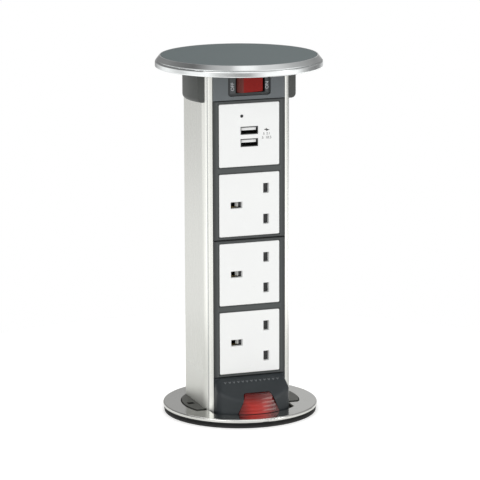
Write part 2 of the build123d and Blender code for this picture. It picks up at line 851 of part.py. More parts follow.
# Switch body with the rocker's well and its pivot holes
with BuildPart() as switch_body:
    with BuildSketch(Plane.XZ.offset(bezel_back_out)):
        with Locations((window_x, window_z)):
            Rectangle(switch_body_wide, switch_body_high)
    extrude(amount=-switch_body_deep)
    with BuildSketch(Plane.XZ.offset(bezel_back_out)):
        with Locations((window_x, window_z)):
            Rectangle(window_wide, window_high)
    extrude(amount=-switch_cavity_deep, mode=Mode.SUBTRACT)
    with BuildSketch(Plane.XY.offset(window_z)):
        with Locations((window_x, -rocker_pivot_out)):
            Circle(rocker_pin_r + screw_gap)
    extrude(amount=rocker_pin_reach + slip, both=True, mode=Mode.SUBTRACT)
switch_body.part.label = "switch_body"
export_step(switch_body.part, "parts/switch_body.step")

# Rocker: its ends follow a circle about the pivot, and it rests with its left end out
rocker_plane = Plane(
    origin=(window_x, -rocker_pivot_out, window_z),
    x_dir=(cos(radians(rocker_tilt)), sin(radians(rocker_tilt)), 0),
    z_dir=(0, 0, 1),
)
with BuildPart() as reset_rocker:
    with BuildSketch(rocker_plane):
        Circle(rocker_end_r)
        with Locations((0, (rocker_back - rocker_front) / 2)):
            Rectangle(2 * rocker_end_r, rocker_front + rocker_back, mode=Mode.INTERSECT)
    extrude(amount=rocker_high / 2, both=True)
    front_face = reset_rocker.faces().filter_by(GeomType.PLANE).sort_by(Axis.Y)[0]
    fillet(front_face.edges(), rocker_edge_r)
    with BuildSketch(rocker_plane):
        Circle(rocker_pin_r)
    extrude(amount=rocker_pin_reach, both=True)
reset_rocker.part.label = "reset_rocker"
export_step(reset_rocker.part, "parts/reset_rocker.step")

# Blades behind the switch body
switch_back_out = bezel_back_out - switch_body_deep
blade_start_x = window_x - terminal_blade_pitch * (terminal_blade_count - 1) / 2
blade_places = [(blade_start_x + terminal_blade_pitch * step, window_z) for step in range(terminal_blade_count)]
with BuildPart() as switch_terminals:
    with BuildSketch(Plane.XZ.offset(switch_back_out)):
        with Locations(*blade_places):
            Rectangle(terminal_blade_thick, terminal_blade_wide)
    extrude(amount=-terminal_blade_long)
switch_terminals.part.label = "switch_terminals"
export_step(switch_terminals.part, "parts/switch_terminals.step")

# Module frames: each holds two fronts on a ledge
ledge_opening = panel_size + 2 * slip - 2 * ledge_wide
frame_body_high = frame_high - joint_line
for base_z, frame_name in zip(frame_base_z, ("lower", "upper")):
    frame_mid_z = base_z + frame_high / 2
    opening_places = [(0, base_z + module_pitch * (step + 0.5)) for step in range(modules_per_frame)]
    with BuildPart() as module_frame:
        with BuildSketch(Plane.XZ.offset(frame_out)):
            with Locations((0, frame_mid_z)):
                Rectangle(2 * frame_half, frame_body_high)
        extrude(amount=-frame_deep)
        outer_edges = module_frame.faces().sort_by(Axis.Y)[0].edges()
        fillet(outer_edges, frame_edge_r)
        with BuildSketch(Plane.XZ.offset(frame_out)):
            with Locations(*opening_places):
                Rectangle(panel_size + slip, panel_size + slip)
        extrude(amount=-(frame_out - panel_back_out), mode=Mode.SUBTRACT)
        with BuildSketch(Plane.XZ.offset(panel_back_out)):
            with Locations(*opening_places):
                Rectangle(ledge_opening, ledge_opening)
        extrude(amount=-frame_deep, mode=Mode.SUBTRACT)
    module_frame.part.label = f"module_frame_{frame_name}"
    export_step(module_frame.part, f"parts/module_frame_{frame_name}.step")

# Socket fronts, bodies, contacts, shutters and shutter springs, one set to a module
live_floor_long = shutter_floor_out + live_contact_floor_y
earth_floor_long = shutter_floor_out + earth_contact_floor_y
live_pocket_wide = contact_gap + 2 * contact_thick + 2 * pocket_side_gap
live_back_wide = contact_gap + 2 * contact_thick
tail_gap = 0.3
spring_post_end_x = spring_post_x + spring_post_wide
spring_slot_end_x = spring_post_end_x + tail_gap
blade_left_x = shutter_blade_x - shutter_blade_wide / 2
spring_seat_gap = shutter_spring_wire_r + screw_gap
shutter_mid_out = panel_back_out - shutter_room / 2
for number, centre_z in enumerate(socket_centres, start=1):
    live_places = [(live_pin_x, centre_z + live_pin_rise), (live_pin_x, centre_z - live_pin_rise)]
    tail_places = [
        (live_pin_x - tail_shift, centre_z + live_pin_rise),
        (live_pin_x + tail_shift, centre_z - live_pin_rise),
    ]
    earth_place = (earth_pin_x, centre_z)

    with BuildPart() as socket_faceplate:
        with BuildSketch(Plane.XZ.offset(panel_out)):
            with Locations((0, centre_z)):
                RectangleRounded(panel_size, panel_size, panel_corner_r)
        extrude(amount=-panel_thick)
        fillet(socket_faceplate.faces().sort_by(Axis.Y)[0].edges(), panel_edge_r)
        with BuildSketch(Plane.XZ.offset(panel_out)):
            with Locations(*live_places):
                Rectangle(live_hole_wide, live_hole_high)
            with Locations(earth_place):
                Rectangle(earth_hole_wide, earth_hole_high)
        extrude(amount=-panel_thick, mode=Mode.SUBTRACT)
    socket_faceplate.part.label = f"socket_faceplate_{number}"
    export_step(socket_faceplate.part, f"parts/socket_faceplate_{number}.step")

    with BuildPart() as socket_housing:
        with BuildSketch(Plane.XZ.offset(panel_back_out)):
            with Locations((0, centre_z)):
                Rectangle(housing_size, housing_size)
        extrude(amount=-housing_deep)
        with BuildSketch(Plane.XZ.offset(panel_back_out)):
            with Locations(((shutter_pocket_left + shutter_pocket_right) / 2, centre_z)):
                Rectangle(shutter_pocket_right - shutter_pocket_left, 2 * (shutter_blade_rise + slip))
        extrude(amount=-shutter_room, mode=Mode.SUBTRACT)
        with BuildSketch(Plane.XZ.offset(-housing_back_y)):
            with Locations((0, centre_z)):
                back_room = housing_size - 2 * housing_back_wall
                Rectangle(back_room, back_room)
        extrude(amount=housing_back_cut, mode=Mode.SUBTRACT)
        with BuildSketch(Plane.XZ.offset(shutter_floor_out)):
            with Locations(*live_places):
                Rectangle(live_pocket_wide, 2 * live_pocket_rise)
        extrude(amount=-live_floor_long, mode=Mode.SUBTRACT)
        with BuildSketch(Plane.XZ.offset(shutter_floor_out)):
            with Locations(earth_place):
                Rectangle(2 * earth_pocket_reach, live_pocket_wide)
        extrude(amount=-earth_floor_long, mode=Mode.SUBTRACT)
        with BuildSketch(Plane.XZ.offset(shutter_floor_out)):
            with Locations(*tail_places, earth_place):
                Rectangle(tail_thick + 2 * pocket_side_gap, 2 * (tail_rise + pocket_side_gap))
        extrude(amount=-housing_deep, mode=Mode.SUBTRACT)
        with BuildSketch(Plane.XZ.offset(shutter_floor_out)):
            with Locations((spring_post_x + spring_post_wide / 2, centre_z)):
                Rectangle(spring_post_wide, 2 * (spring_slot_rise - tail_gap))
        extrude(amount=shutter_room - slip)
    socket_housing.part.label = f"socket_housing_{number}"
    export_step(socket_housing.part, f"parts/socket_housing_{number}.step")

    with BuildPart() as socket_contacts:
        jaw_shift = (contact_gap + contact_thick) / 2
        with BuildSketch(Plane.XZ.offset(contact_front_out)):
            for x, z in live_places:
                with Locations((x - jaw_shift, z), (x + jaw_shift, z)):
                    Rectangle(contact_thick, 2 * live_contact_rise)
        extrude(amount=-(contact_front_out + live_contact_floor_y))
        with BuildSketch(Plane.XZ.offset(-live_contact_floor_y)):
            with Locations(*live_places):
                Rectangle(live_back_wide, 2 * live_contact_rise)
        extrude(amount=contact_back_thick)
        with BuildSketch(Plane.XZ.offset(-live_contact_floor_y)):
            with Locations(tail_places[0]):
                Rectangle(tail_thick, 2 * tail_rise)
        extrude(amount=-(strip_front_y - live_contact_floor_y))
        with BuildSketch(Plane.XZ.offset(-live_contact_floor_y)):
            with Locations(tail_places[1]):
                Rectangle(tail_thick, 2 * tail_rise)
        extrude(amount=-(strip_front_y + strip_step_y - live_contact_floor_y))
        with BuildSketch(Plane.XZ.offset(contact_front_out)):
            with Locations((earth_pin_x, centre_z - jaw_shift), (earth_pin_x, centre_z + jaw_shift)):
                Rectangle(2 * earth_contact_reach, contact_thick)
        extrude(amount=-(contact_front_out + earth_contact_floor_y))
        with BuildSketch(Plane.XZ.offset(-earth_contact_floor_y)):
            with Locations(earth_place):
                Rectangle(2 * earth_contact_reach, live_back_wide)
        extrude(amount=contact_back_thick)
        with BuildSketch(Plane.XZ.offset(-earth_contact_floor_y)):
            with Locations(earth_place):
                Rectangle(tail_thick, 2 * tail_rise)
        extrude(amount=-(strip_front_y - earth_contact_floor_y))
    socket_contacts.part.label = f"socket_contacts_{number}"
    export_step(socket_contacts.part, f"parts/socket_contacts_{number}.step")

    with BuildPart() as shutter:
        with BuildSketch(Plane.XZ.offset(shutter_front_out)):
            with Locations((shutter_blade_x, centre_z)):
                Rectangle(shutter_blade_wide, 2 * shutter_blade_rise)
            spine_left_x = shutter_tooth_tip_x + shutter_tooth_wide
            with Locations(((spine_left_x + blade_left_x) / 2, centre_z)):
                Rectangle(blade_left_x - spine_left_x, 2 * shutter_spine_rise)
            with Locations((shutter_tooth_tip_x + shutter_tooth_wide / 2, centre_z)):
                Rectangle(shutter_tooth_wide, 2 * shutter_tooth_rise)
            with Locations(((spring_slot_start_x + spring_slot_end_x) / 2, centre_z)):
                Rectangle(spring_slot_end_x - spring_slot_start_x, 2 * spring_slot_rise, mode=Mode.SUBTRACT)
        extrude(amount=-shutter_thick)
        tooth_edge = shutter.edges().filter_by(Axis.Z).sort_by(Axis.X)[0:2].sort_by(Axis.Y)[0]
        chamfer(tooth_edge, shutter_thick - slip)
    shutter.part.label = f"shutter_{number}"
    export_step(shutter.part, f"parts/shutter_{number}.step")

    make_spring(
        f"shutter_spring_{number}",
        (spring_slot_start_x + spring_seat_gap, -shutter_mid_out, centre_z),
        (1, 0, 0),
        spring_post_x - spring_slot_start_x - 2 * spring_seat_gap,
        shutter_spring_r,
        shutter_spring_wire_r,
        shutter_spring_turns,
    )

# Copper strips that join the contacts and run down into the terminal block
block_top_z = column_base_z + block_high
strip_base_z = block_top_z - strip_in_block
top_contact_z = socket_centres[0] + live_pin_rise
strips = (
    ("line_busbar", live_pin_x - tail_shift, strip_front_y, top_contact_z),
    ("neutral_busbar", live_pin_x + tail_shift, strip_front_y + strip_step_y, top_contact_z),
    ("earth_busbar", earth_pin_x, strip_front_y, socket_centres[0]),
)
for strip_name, strip_x, strip_y, contact_z in strips:
    with BuildPart() as busbar:
        with BuildSketch(Plane.XY.offset(strip_base_z)):
            with Locations((strip_x, strip_y + strip_thick / 2)):
                Rectangle(strip_wide, strip_thick)
        extrude(amount=contact_z + strip_spare - strip_base_z)
    busbar.part.label = strip_name
    export_step(busbar.part, f"parts/{strip_name}.step")

# Terminal block on the foot's floor, with a slot and a clamping screw for each strip
block_screw_z = strip_base_z + strip_in_block / 2
with BuildPart() as terminal_block:
    with BuildSketch(Plane.XY.offset(column_base_z)):
        with Locations((block_x, block_front_y + block_deep / 2)):
            Rectangle(block_wide, block_deep)
    extrude(amount=block_high)
    with BuildSketch(Plane.XY.offset(block_top_z)):
        for strip_name, strip_x, strip_y, contact_z in strips:
            with Locations((strip_x, strip_y + strip_thick / 2)):
                Rectangle(strip_wide + 2 * block_slot_gap, strip_thick + 2 * block_slot_gap)
    extrude(amount=-strip_in_block - block_slot_gap, mode=Mode.SUBTRACT)
    with BuildSketch(Plane.XZ.offset(-block_front_y)):
        with Locations(*[(strip_x, block_screw_z) for strip_name, strip_x, strip_y, contact_z in strips]):
            Circle(block_screw_r + screw_gap)
    extrude(amount=-(strip_front_y + strip_step_y - block_front_y), mode=Mode.SUBTRACT)
terminal_block.part.label = "terminal_block"
export_step(terminal_block.part, "parts/terminal_block.step")

with BuildPart() as terminal_screws:
    for strip_name, strip_x, strip_y, contact_z in strips:
        with BuildSketch(Plane.XZ.offset(-block_front_y)):
            with Locations((strip_x, block_screw_z)):
                Circle(block_screw_r)
        extrude(amount=-(strip_y - block_front_y))
        with BuildSketch(Plane.XZ.offset(-block_front_y)):
            with Locations((strip_x, block_screw_z)):
                Circle(block_screw_head_r)
        extrude(amount=block_screw_r)
terminal_screws.part.label = "terminal_screws"
export_step(terminal_screws.part, "parts/terminal_screws.step")

# USB front, with two port openings and the lamp's hole
usb_port_places = [(0, usb_top_z - drop) for drop in usb_port_drops]
led_place = (led_x, usb_top_z - led_drop)
with BuildPart() as usb_faceplate:
    with BuildSketch(Plane.XZ.offset(panel_out)):
        with Locations((0, usb_centre_z)):
            RectangleRounded(panel_size, panel_size, panel_corner_r)
    extrude(amount=-panel_thick)
    fillet(usb_faceplate.faces().sort_by(Axis.Y)[0].edges(), panel_edge_r)
    with BuildSketch(Plane.XZ.offset(panel_out)):
        with Locations(*usb_port_places):
            Rectangle(usb_port_wide, usb_port_high)
        with Locations(led_place):
            Circle(led_hole_r)
    extrude(amount=-panel_thick, mode=Mode.SUBTRACT)
usb_faceplate.part.label = "usb_faceplate"
export_step(usb_faceplate.part, "parts/usb_faceplate.step")

# Port shells, open at the front, closed by a plate against the board
shell_wide = usb_port_wide - 2 * usb_shell_gap
shell_high = usb_port_high - 2 * usb_shell_gap
shell_front_out = panel_out - usb_shell_inset
shell_long = shell_front_out - usb_board_out
with BuildPart() as usb_ports:
    with BuildSketch(Plane.XZ.offset(shell_front_out)):
        with Locations(*usb_port_places):
            Rectangle(shell_wide, shell_high)
    extrude(amount=-shell_long)
    with BuildSketch(Plane.XZ.offset(shell_front_out)):
        with Locations(*usb_port_places):
            Rectangle(shell_wide - 2 * usb_shell_wall, shell_high - 2 * usb_shell_wall)
    extrude(amount=-(shell_long - usb_shell_wall), mode=Mode.SUBTRACT)
usb_ports.part.label = "usb_ports"
export_step(usb_ports.part, "parts/usb_ports.step")

tongue_drop = usb_shell_wall + usb_tongue_top_gap + usb_tongue_thick / 2
tongue_places = [(x, z + shell_high / 2 - tongue_drop) for x, z in usb_port_places]
with BuildPart() as usb_tongues:
    with BuildSketch(Plane.XZ.offset(usb_board_out + usb_shell_wall)):
        with Locations(*tongue_places):
            Rectangle(usb_tongue_wide, usb_tongue_thick)
    extrude(amount=shell_long - usb_shell_wall - usb_tongue_inset)
usb_tongues.part.label = "usb_tongues"
export_step(usb_tongues.part, "parts/usb_tongues.step")

case_inner = housing_size - 2 * usb_case_wall
usb_board_size = case_inner - 2 * usb_board_gap
with BuildPart() as usb_board:
    with BuildSketch(Plane.XZ.offset(usb_board_out)):
        with Locations((0, usb_centre_z)):
            Rectangle(usb_board_size, usb_board_size)
    extrude(amount=-usb_board_thick)
usb_board.part.label = "usb_board"
export_step(usb_board.part, "parts/usb_board.step")

# Charger parts on the board's back: a transformer block and a capacitor
board_back_out = usb_board_out - usb_board_thick
with BuildPart() as charger_parts:
    with BuildSketch(Plane.XZ.offset(board_back_out)):
        with Locations((charger_block_x, usb_centre_z - charger_block_drop)):
            Rectangle(charger_block_wide, charger_block_high)
    extrude(amount=-charger_block_deep)
    with BuildSketch(Plane.XZ.offset(board_back_out)):
        with Locations((capacitor_x, usb_centre_z + capacitor_rise)):
            Circle(capacitor_r)
    extrude(amount=-capacitor_deep)
charger_parts.part.label = "charger_parts"
export_step(charger_parts.part, "parts/charger_parts.step")

# Charger case: open at the front, with corner posts that carry the board
case_inner_deep = usb_case_deep - usb_case_wall
case_back_out = panel_back_out - usb_case_deep
post_places = [
    (usb_post_place, usb_centre_z + usb_post_place),
    (-usb_post_place, usb_centre_z + usb_post_place),
    (usb_post_place, usb_centre_z - usb_post_place),
    (-usb_post_place, usb_centre_z - usb_post_place),
]
with BuildPart() as usb_housing:
    with BuildSketch(Plane.XZ.offset(panel_back_out)):
        with Locations((0, usb_centre_z)):
            Rectangle(housing_size, housing_size)
    extrude(amount=-usb_case_deep)
    with BuildSketch(Plane.XZ.offset(panel_back_out)):
        with Locations((0, usb_centre_z)):
            Rectangle(case_inner, case_inner)
    extrude(amount=-case_inner_deep, mode=Mode.SUBTRACT)
    with BuildSketch(Plane.XZ.offset(case_back_out)):
        with Locations(*post_places):
            Circle(usb_post_r)
    extrude(amount=board_back_out - case_back_out)
usb_housing.part.label = "usb_housing"
export_step(usb_housing.part, "parts/usb_housing.step")

# Status lamp behind its hole, on two legs from the board
led_front_out = panel_out - led_inset
led_leg_places = [(led_x - led_leg_spread, led_place[1]), (led_x + led_leg_spread, led_place[1])]
with BuildPart() as status_led:
    with BuildSketch(Plane.XZ.offset(led_front_out)):
        with Locations(led_place):
            Circle(led_r)
    extrude(amount=-led_long)
    with BuildSketch(Plane.XZ.offset(usb_board_out)):
        with Locations(*led_leg_places):
            Circle(led_leg_r)
    extrude(amount=led_front_out - led_long / 2 - usb_board_out)
status_led.part.label = "status_led"
export_step(status_led.part, "parts/status_led.step")

# Foot: top plate with the side lands, skirt that runs in the barrel, floor under the column
skirt_inner_r = foot_skirt_r - foot_skirt_wall
with BuildPart() as foot_guide:
    with BuildSketch(Plane.XY.offset(foot_base_z)):
        Circle(foot_skirt_r)
    extrude(amount=foot_top_z - foot_base_z)
    with BuildSketch(Plane.XY.offset(foot_base_z)):
        Circle(skirt_inner_r)
    extrude(amount=foot_floor_z - foot_base_z, mode=Mode.SUBTRACT)
    with BuildSketch(Plane.XY.offset(column_base_z)):
        Circle(skirt_inner_r)
    extrude(amount=foot_top_z - foot_plate_thick - column_base_z, mode=Mode.SUBTRACT)
    with BuildSketch(Plane.XY.offset(foot_top_z)):
        Circle(envelope_r)
        with Locations((0, envelope_r - land_front_out)):
            Rectangle(2 * envelope_r, 2 * envelope_r, mode=Mode.INTERSECT)
    extrude(amount=land_top_z - foot_top_z)
    with BuildSketch(Plane.XY.offset(foot_top_z - foot_plate_thick)):
        add(tower_fit_face)
    extrude(amount=land_top_z - foot_top_z + foot_plate_thick, mode=Mode.SUBTRACT)
    with BuildSketch(Plane.XY.offset(land_top_z)):
        with Locations((land_hole_x, land_hole_y)):
            Rectangle(land_hole_size, land_hole_size)
    extrude(amount=-land_hole_deep, mode=Mode.SUBTRACT)
    with BuildSketch(Plane.XY.offset(foot_floor_z)):
        Circle(gland_thread_r + gland_nut_gap)
        with Locations(*port_places):
            Circle(foot_screw_r + slip)
    extrude(amount=foot_floor_thick, mode=Mode.SUBTRACT)
    with BuildSketch(Plane.XY.offset(foot_top_z)):
        with Locations((cover_boss_x, -cover_boss_out), (-cover_boss_x, -cover_boss_out)):
            Circle(cover_screw_r + slip)
    extrude(amount=-foot_plate_thick, mode=Mode.SUBTRACT)
foot_guide.part.label = "foot_guide"
export_step(foot_guide.part, "parts/foot_guide.step")

with BuildPart() as foot_screws:
    with BuildSketch(Plane.XY.offset(foot_floor_z)):
        with Locations(*port_places):
            Circle(foot_screw_head_r)
    extrude(amount=-foot_screw_head_high)
    with BuildSketch(Plane.XY.offset(foot_floor_z)):
        with Locations(*port_places):
            Circle(foot_screw_r)
    extrude(amount=foot_floor_thick + foot_screw_reach)
foot_screws.part.label = "foot_screws"
export_step(foot_screws.part, "parts/foot_screws.step")

# Front cover: vertical at the foot, sloped back to the modules, open below


def cover_plan(inset):
    """The cover seen from above, round in front with its two corners eased, moved inwards by inset."""
    with BuildSketch(Plane.XY.offset(foot_top_z)) as plan:
        Circle(cover_r - inset)
        with Locations((0, -column_out - cover_r / 2)):
            Rectangle(2 * (cover_half - inset), cover_r, mode=Mode.INTERSECT)
        fillet(plan.vertices().group_by(Axis.Y)[0], cover_corner_r - inset)
    return plan.sketch


def cover_outline(inset):
    """The cover seen from the front: upright below, drawn in a little at the top."""
    low_z = foot_top_z
    flare_z = cover_top_z - cover_flare_drop
    high_z = cover_top_z
    with BuildSketch(Plane.XZ.offset(column_out)) as outline:
        with BuildLine():
            Line((-cover_half + inset, low_z), (cover_half - inset, low_z))
            Line((cover_half - inset, low_z), (cover_half - inset, flare_z))
            Spline(
                (cover_half - inset, flare_z),
                (cover_top_half - inset, high_z),
                tangents=((0, 1), (0, 1)),
            )
            Line((cover_top_half - inset, high_z), (-cover_top_half + inset, high_z))
            Spline(
                (-cover_top_half + inset, high_z),
                (-cover_half + inset, flare_z),
                tangents=((0, -1), (0, -1)),
            )
            Line((-cover_half + inset, flare_z), (-cover_half + inset, low_z))
        make_face()
    return outline.sketch


def slope_side(inset):
    """What lies under the slope, seen from the right, with the slope moved inwards."""
    top = cover_top_z - joint_line / 2 - inset
    low = top - cover_slope_drop
    with BuildSketch(Plane.YZ) as side_view:
        with BuildLine():
            Polyline(
                (-frame_back_out, foot_top_z),
                (-cover_r, foot_top_z),
                (-cover_r, low),
                (-column_out, top),
                (-frame_back_out, top),
                close=True,
            )
        make_face()
    return side_view.sketch


tab_base_z = ring_top_z + tab_base_rise
tab_top_z = tab_base_z + tab_high
cover_inner_r = cover_r - cover_wall
cover_back_out = column_out + cover_back_wall
flange_front_out = sqrt(cover_inner_r**2 - (tab_x + tab_flange_half) ** 2) - slip
flange_back_out = flange_front_out - tab_flange_thick
cover_boss_places = [(cover_boss_x, -cover_boss_out), (-cover_boss_x, -cover_boss_out)]


def tab_outline(grow, start_out):
    """The release tab seen from the front, a trapezoid, drawn start_out in front of the axis."""
    with BuildSketch(Plane.XZ.offset(start_out)) as outline:
        with BuildLine():
            Polyline(
                (tab_x - tab_base_half - grow, tab_base_z - grow),
                (tab_x + tab_base_half + grow, tab_base_z - grow),
                (tab_x + tab_top_half + grow, tab_top_z + grow),
                (tab_x - tab_top_half - grow, tab_top_z + grow),
                close=True,
            )
        make_face()
        fillet(outline.vertices().group_by(Axis.Y)[-1], tab_corner_r + grow)
    return outline.sketch


# The room inside the cover and the tab's window, cut from it below
with BuildPart() as cover_room:
    extrude(cover_plan(cover_wall), cover_high)
    extrude(cover_outline(cover_wall), cover_r - column_out, dir=to_front, mode=Mode.INTERSECT)
    extrude(slope_side(cover_wall), cover_half, dir=to_right, both=True, mode=Mode.INTERSECT)
    with BuildSketch(Plane.XY.offset(foot_top_z)):
        with Locations((0, -column_out - cover_back_wall / 2)):
            Rectangle(2 * cover_half, cover_back_wall)
    extrude(amount=cover_high, mode=Mode.SUBTRACT)

with BuildPart() as tab_window:
    extrude(tab_outline(tab_gap, flange_back_out - tab_travel - slip), cover_r, dir=to_front)

with BuildPart() as front_cover:
    extrude(cover_plan(0), cover_high)
    extrude(cover_outline(0), cover_r - column_out, dir=to_front, mode=Mode.INTERSECT)
    extrude(slope_side(0), cover_half, dir=to_right, both=True, mode=Mode.INTERSECT)
    slope_face = front_cover.faces().filter_by(GeomType.PLANE).sort_by(Axis.Z)[-1]
    fillet(slope_face.edges().sort_by(Axis.Y)[:-1], cover_edge_r)
    add(cover_room.part, mode=Mode.SUBTRACT)
    with BuildSketch(Plane.XZ.offset(column_out)):
        with Locations((0, (foot_top_z + cover_top_z - joint_line / 2) / 2)):
            Rectangle(2 * frame_half, cover_high - joint_line / 2)
    extrude(amount=-(column_out - frame_back_out))
    with BuildSketch(Plane.XY.offset(foot_top_z)):
        with Locations(*cover_boss_places):
            Circle(cover_boss_r)
    extrude(amount=cover_boss_high)
    with BuildSketch(Plane.XY.offset(foot_top_z)):
        with Locations(*cover_boss_places):
            Circle(cover_screw_r + screw_gap)
    extrude(amount=cover_screw_reach + slip, mode=Mode.SUBTRACT)
    add(tab_window.part, mode=Mode.SUBTRACT)
front_cover.part.label = "front_cover"
export_step(front_cover.part, "parts/front_cover.step")

with BuildPart() as cover_screws:
    foot_plate_under_z = foot_top_z - foot_plate_thick
    with BuildSketch(Plane.XY.offset(foot_plate_under_z)):
        with Locations(*cover_boss_places):
            Circle(cover_screw_head_r)
    extrude(amount=-cover_screw_head_high)
    with BuildSketch(Plane.XY.offset(foot_plate_under_z)):
        with Locations(*cover_boss_places):
            Circle(cover_screw_r)
    extrude(amount=foot_plate_thick + cover_screw_reach)
cover_screws.part.label = "cover_screws"
export_step(cover_screws.part, "parts/cover_screws.step")

# Release tab: a leaning front with level ribs, kept in by the flange behind the cover's wall
tab_rib_pitch = tab_high / tab_rib_count
tab_flange_z = tab_base_z + (tab_flange_low_rise + tab_flange_high_rise) / 2


def tab_front_r(height):
    """Radius of the tab's leaning front at a height above the tab's lower edge."""
    return tab_base_r + (tab_top_r - tab_base_r) * height / tab_high


with BuildPart() as release_tab:
    extrude(tab_outline(0, flange_back_out), tab_base_r, dir=to_front)
    with BuildSketch(Plane.XZ):
        with BuildLine():
            rib_line = [(tab_front_r(0), tab_base_z)]
            for rib in range(tab_rib_count):
                rib_low = tab_rib_pitch * rib
                rib_mid = rib_low + tab_rib_pitch / 2
                rib_top = rib_low + tab_rib_pitch
                rib_line.append((tab_front_r(rib_mid) - tab_rib_height, tab_base_z + rib_mid))
                rib_line.append((tab_front_r(rib_top), tab_base_z + rib_top))
            Polyline((0, tab_base_z), *rib_line, (0, tab_top_z), close=True)
        make_face()
    revolve(axis=Axis.Z, mode=Mode.INTERSECT)
    with BuildSketch(Plane.XZ.offset(flange_back_out)):
        with Locations((tab_x, tab_flange_z)):
            Rectangle(2 * tab_flange_half, tab_flange_high_rise - tab_flange_low_rise)
    extrude(amount=tab_flange_thick)
release_tab.part.label = "release_tab"
export_step(release_tab.part, "parts/release_tab.step")


# Spring between the cover's back wall and the tab's flange
spring_seat = release_spring_wire_r + screw_gap
make_spring(
    "release_spring",
    (tab_x, -cover_back_out - spring_seat, tab_base_z + tab_spring_rise),
    (0, -1, 0),
    flange_back_out - cover_back_out - 2 * spring_seat,
    release_spring_r,
    release_spring_wire_r,
    release_spring_turns,
)

# Gland on the axis: hexagon and dome under the foot's floor, thread and nut above it
gland_hex_z = foot_floor_z - gland_hex_high
gland_thread_long = foot_floor_thick + gland_nut_high + gland_thread_spare
with BuildPart() as cable_gland:
    with BuildSketch(Plane.XY.offset(gland_hex_z)):
        RegularPolygon(gland_hex_across / 2, 6, major_radius=False)
    extrude(amount=gland_hex_high)
    with BuildSketch(Plane.XY.offset(gland_hex_z)):
        Circle(gland_dome_r)
    extrude(amount=-gland_dome_high)
    fillet(cable_gland.edges().group_by(Axis.Z)[0], gland_dome_round)
    with BuildSketch(Plane.XY.offset(foot_floor_z)):
        Circle(gland_thread_r)
    extrude(amount=gland_thread_long)
    with BuildSketch(Plane.XY.offset(gland_tip_z)):
        Circle(gland_lead_r)
    extrude(amount=gland_dome_high + gland_hex_high + gland_thread_long, mode=Mode.SUBTRACT)
cable_gland.part.label = "cable_gland"
export_step(cable_gland.part, "parts/cable_gland.step")

with BuildPart() as gland_nut:
    with BuildSketch(Plane.XY.offset(column_base_z)):
        RegularPolygon(gland_hex_across / 2, 6, major_radius=False)
        Circle(gland_thread_r + gland_nut_gap, mode=Mode.SUBTRACT)
    extrude(amount=gland_nut_high)
gland_nut.part.label = "gland_nut"
export_step(gland_nut.part, "parts/gland_nut.step")
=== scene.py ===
# %% [markdown]
# This lesson dresses a socket tower that pulls up out of a desk. The solid parts arrive finished from
# CAD, in metres, with +Z up and the sockets facing -Y. Blender's work here is what the eye reads as real:
# the finish of each metal and plastic, the light of a small studio, and the small raised or printed marks
# that CAD leaves out.
#
# We load the parts first.

# %% Load the parts
import bmesh
import bpy
import math
from mathutils import Matrix, Vector


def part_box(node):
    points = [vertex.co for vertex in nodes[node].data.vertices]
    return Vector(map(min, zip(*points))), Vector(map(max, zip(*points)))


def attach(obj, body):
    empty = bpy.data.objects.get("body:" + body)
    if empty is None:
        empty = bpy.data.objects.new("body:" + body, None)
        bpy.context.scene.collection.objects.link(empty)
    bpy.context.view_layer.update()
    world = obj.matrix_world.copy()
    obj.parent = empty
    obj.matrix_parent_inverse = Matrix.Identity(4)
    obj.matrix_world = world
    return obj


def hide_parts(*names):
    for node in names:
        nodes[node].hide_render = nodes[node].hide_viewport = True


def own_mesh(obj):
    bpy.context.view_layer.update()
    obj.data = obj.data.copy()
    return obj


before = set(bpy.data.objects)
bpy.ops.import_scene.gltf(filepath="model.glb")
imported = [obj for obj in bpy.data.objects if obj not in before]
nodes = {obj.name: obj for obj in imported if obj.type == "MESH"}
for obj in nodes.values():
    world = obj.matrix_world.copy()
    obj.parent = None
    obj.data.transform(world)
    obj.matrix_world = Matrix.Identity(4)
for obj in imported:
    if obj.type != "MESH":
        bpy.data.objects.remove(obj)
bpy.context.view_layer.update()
MM = 0.001
print("parts:", len(nodes))

# %% [markdown]
# A picture of a product is mostly its camera. This one stands where the photographer stood, a little left
# of the sockets and above them, with a long lens that keeps upright edges nearly parallel. Its place was
# worked out from the known sizes of the fronts, so the values below are real distances and angles.

# %% Camera
CAMERA_PLACE = Vector((-664.1, -1898.8, 546.9)) * MM
CAMERA_YAW = math.radians(19.287)
CAMERA_PITCH = math.radians(11.858)
CAMERA_ROLL = math.radians(-0.18)
CAMERA_LENS = 215.14

level_ahead = Vector((math.sin(CAMERA_YAW), math.cos(CAMERA_YAW), 0))
level_right = Vector((math.cos(CAMERA_YAW), -math.sin(CAMERA_YAW), 0))
ahead = level_ahead * math.cos(CAMERA_PITCH) - Vector((0, 0, math.sin(CAMERA_PITCH)))
tilted_up = level_ahead * math.sin(CAMERA_PITCH) + Vector((0, 0, math.cos(CAMERA_PITCH)))
right = level_right * math.cos(CAMERA_ROLL) + tilted_up * math.sin(CAMERA_ROLL)
up = tilted_up * math.cos(CAMERA_ROLL) - level_right * math.sin(CAMERA_ROLL)

camera_data = bpy.data.cameras.new("camera")
camera_data.lens = CAMERA_LENS
camera_data.clip_start = 0.05
camera_data.clip_end = 50
camera = bpy.data.objects.new("camera", camera_data)
turn = Matrix((right, up, -ahead)).transposed().to_4x4()
camera.matrix_world = Matrix.Translation(CAMERA_PLACE) @ turn
bpy.context.scene.collection.objects.link(camera)
bpy.context.scene.camera = camera
bpy.context.scene.view_settings.view_transform = "Standard"

# %% [markdown]
# Finishes are easiest to read as sums. The class below wraps one output of a shader node, so that a line
# such as 0.3 + grain * 0.1 adds the Math nodes for us. Graph.node makes any other node: its settings go
# in first, then the values or links of its sockets.

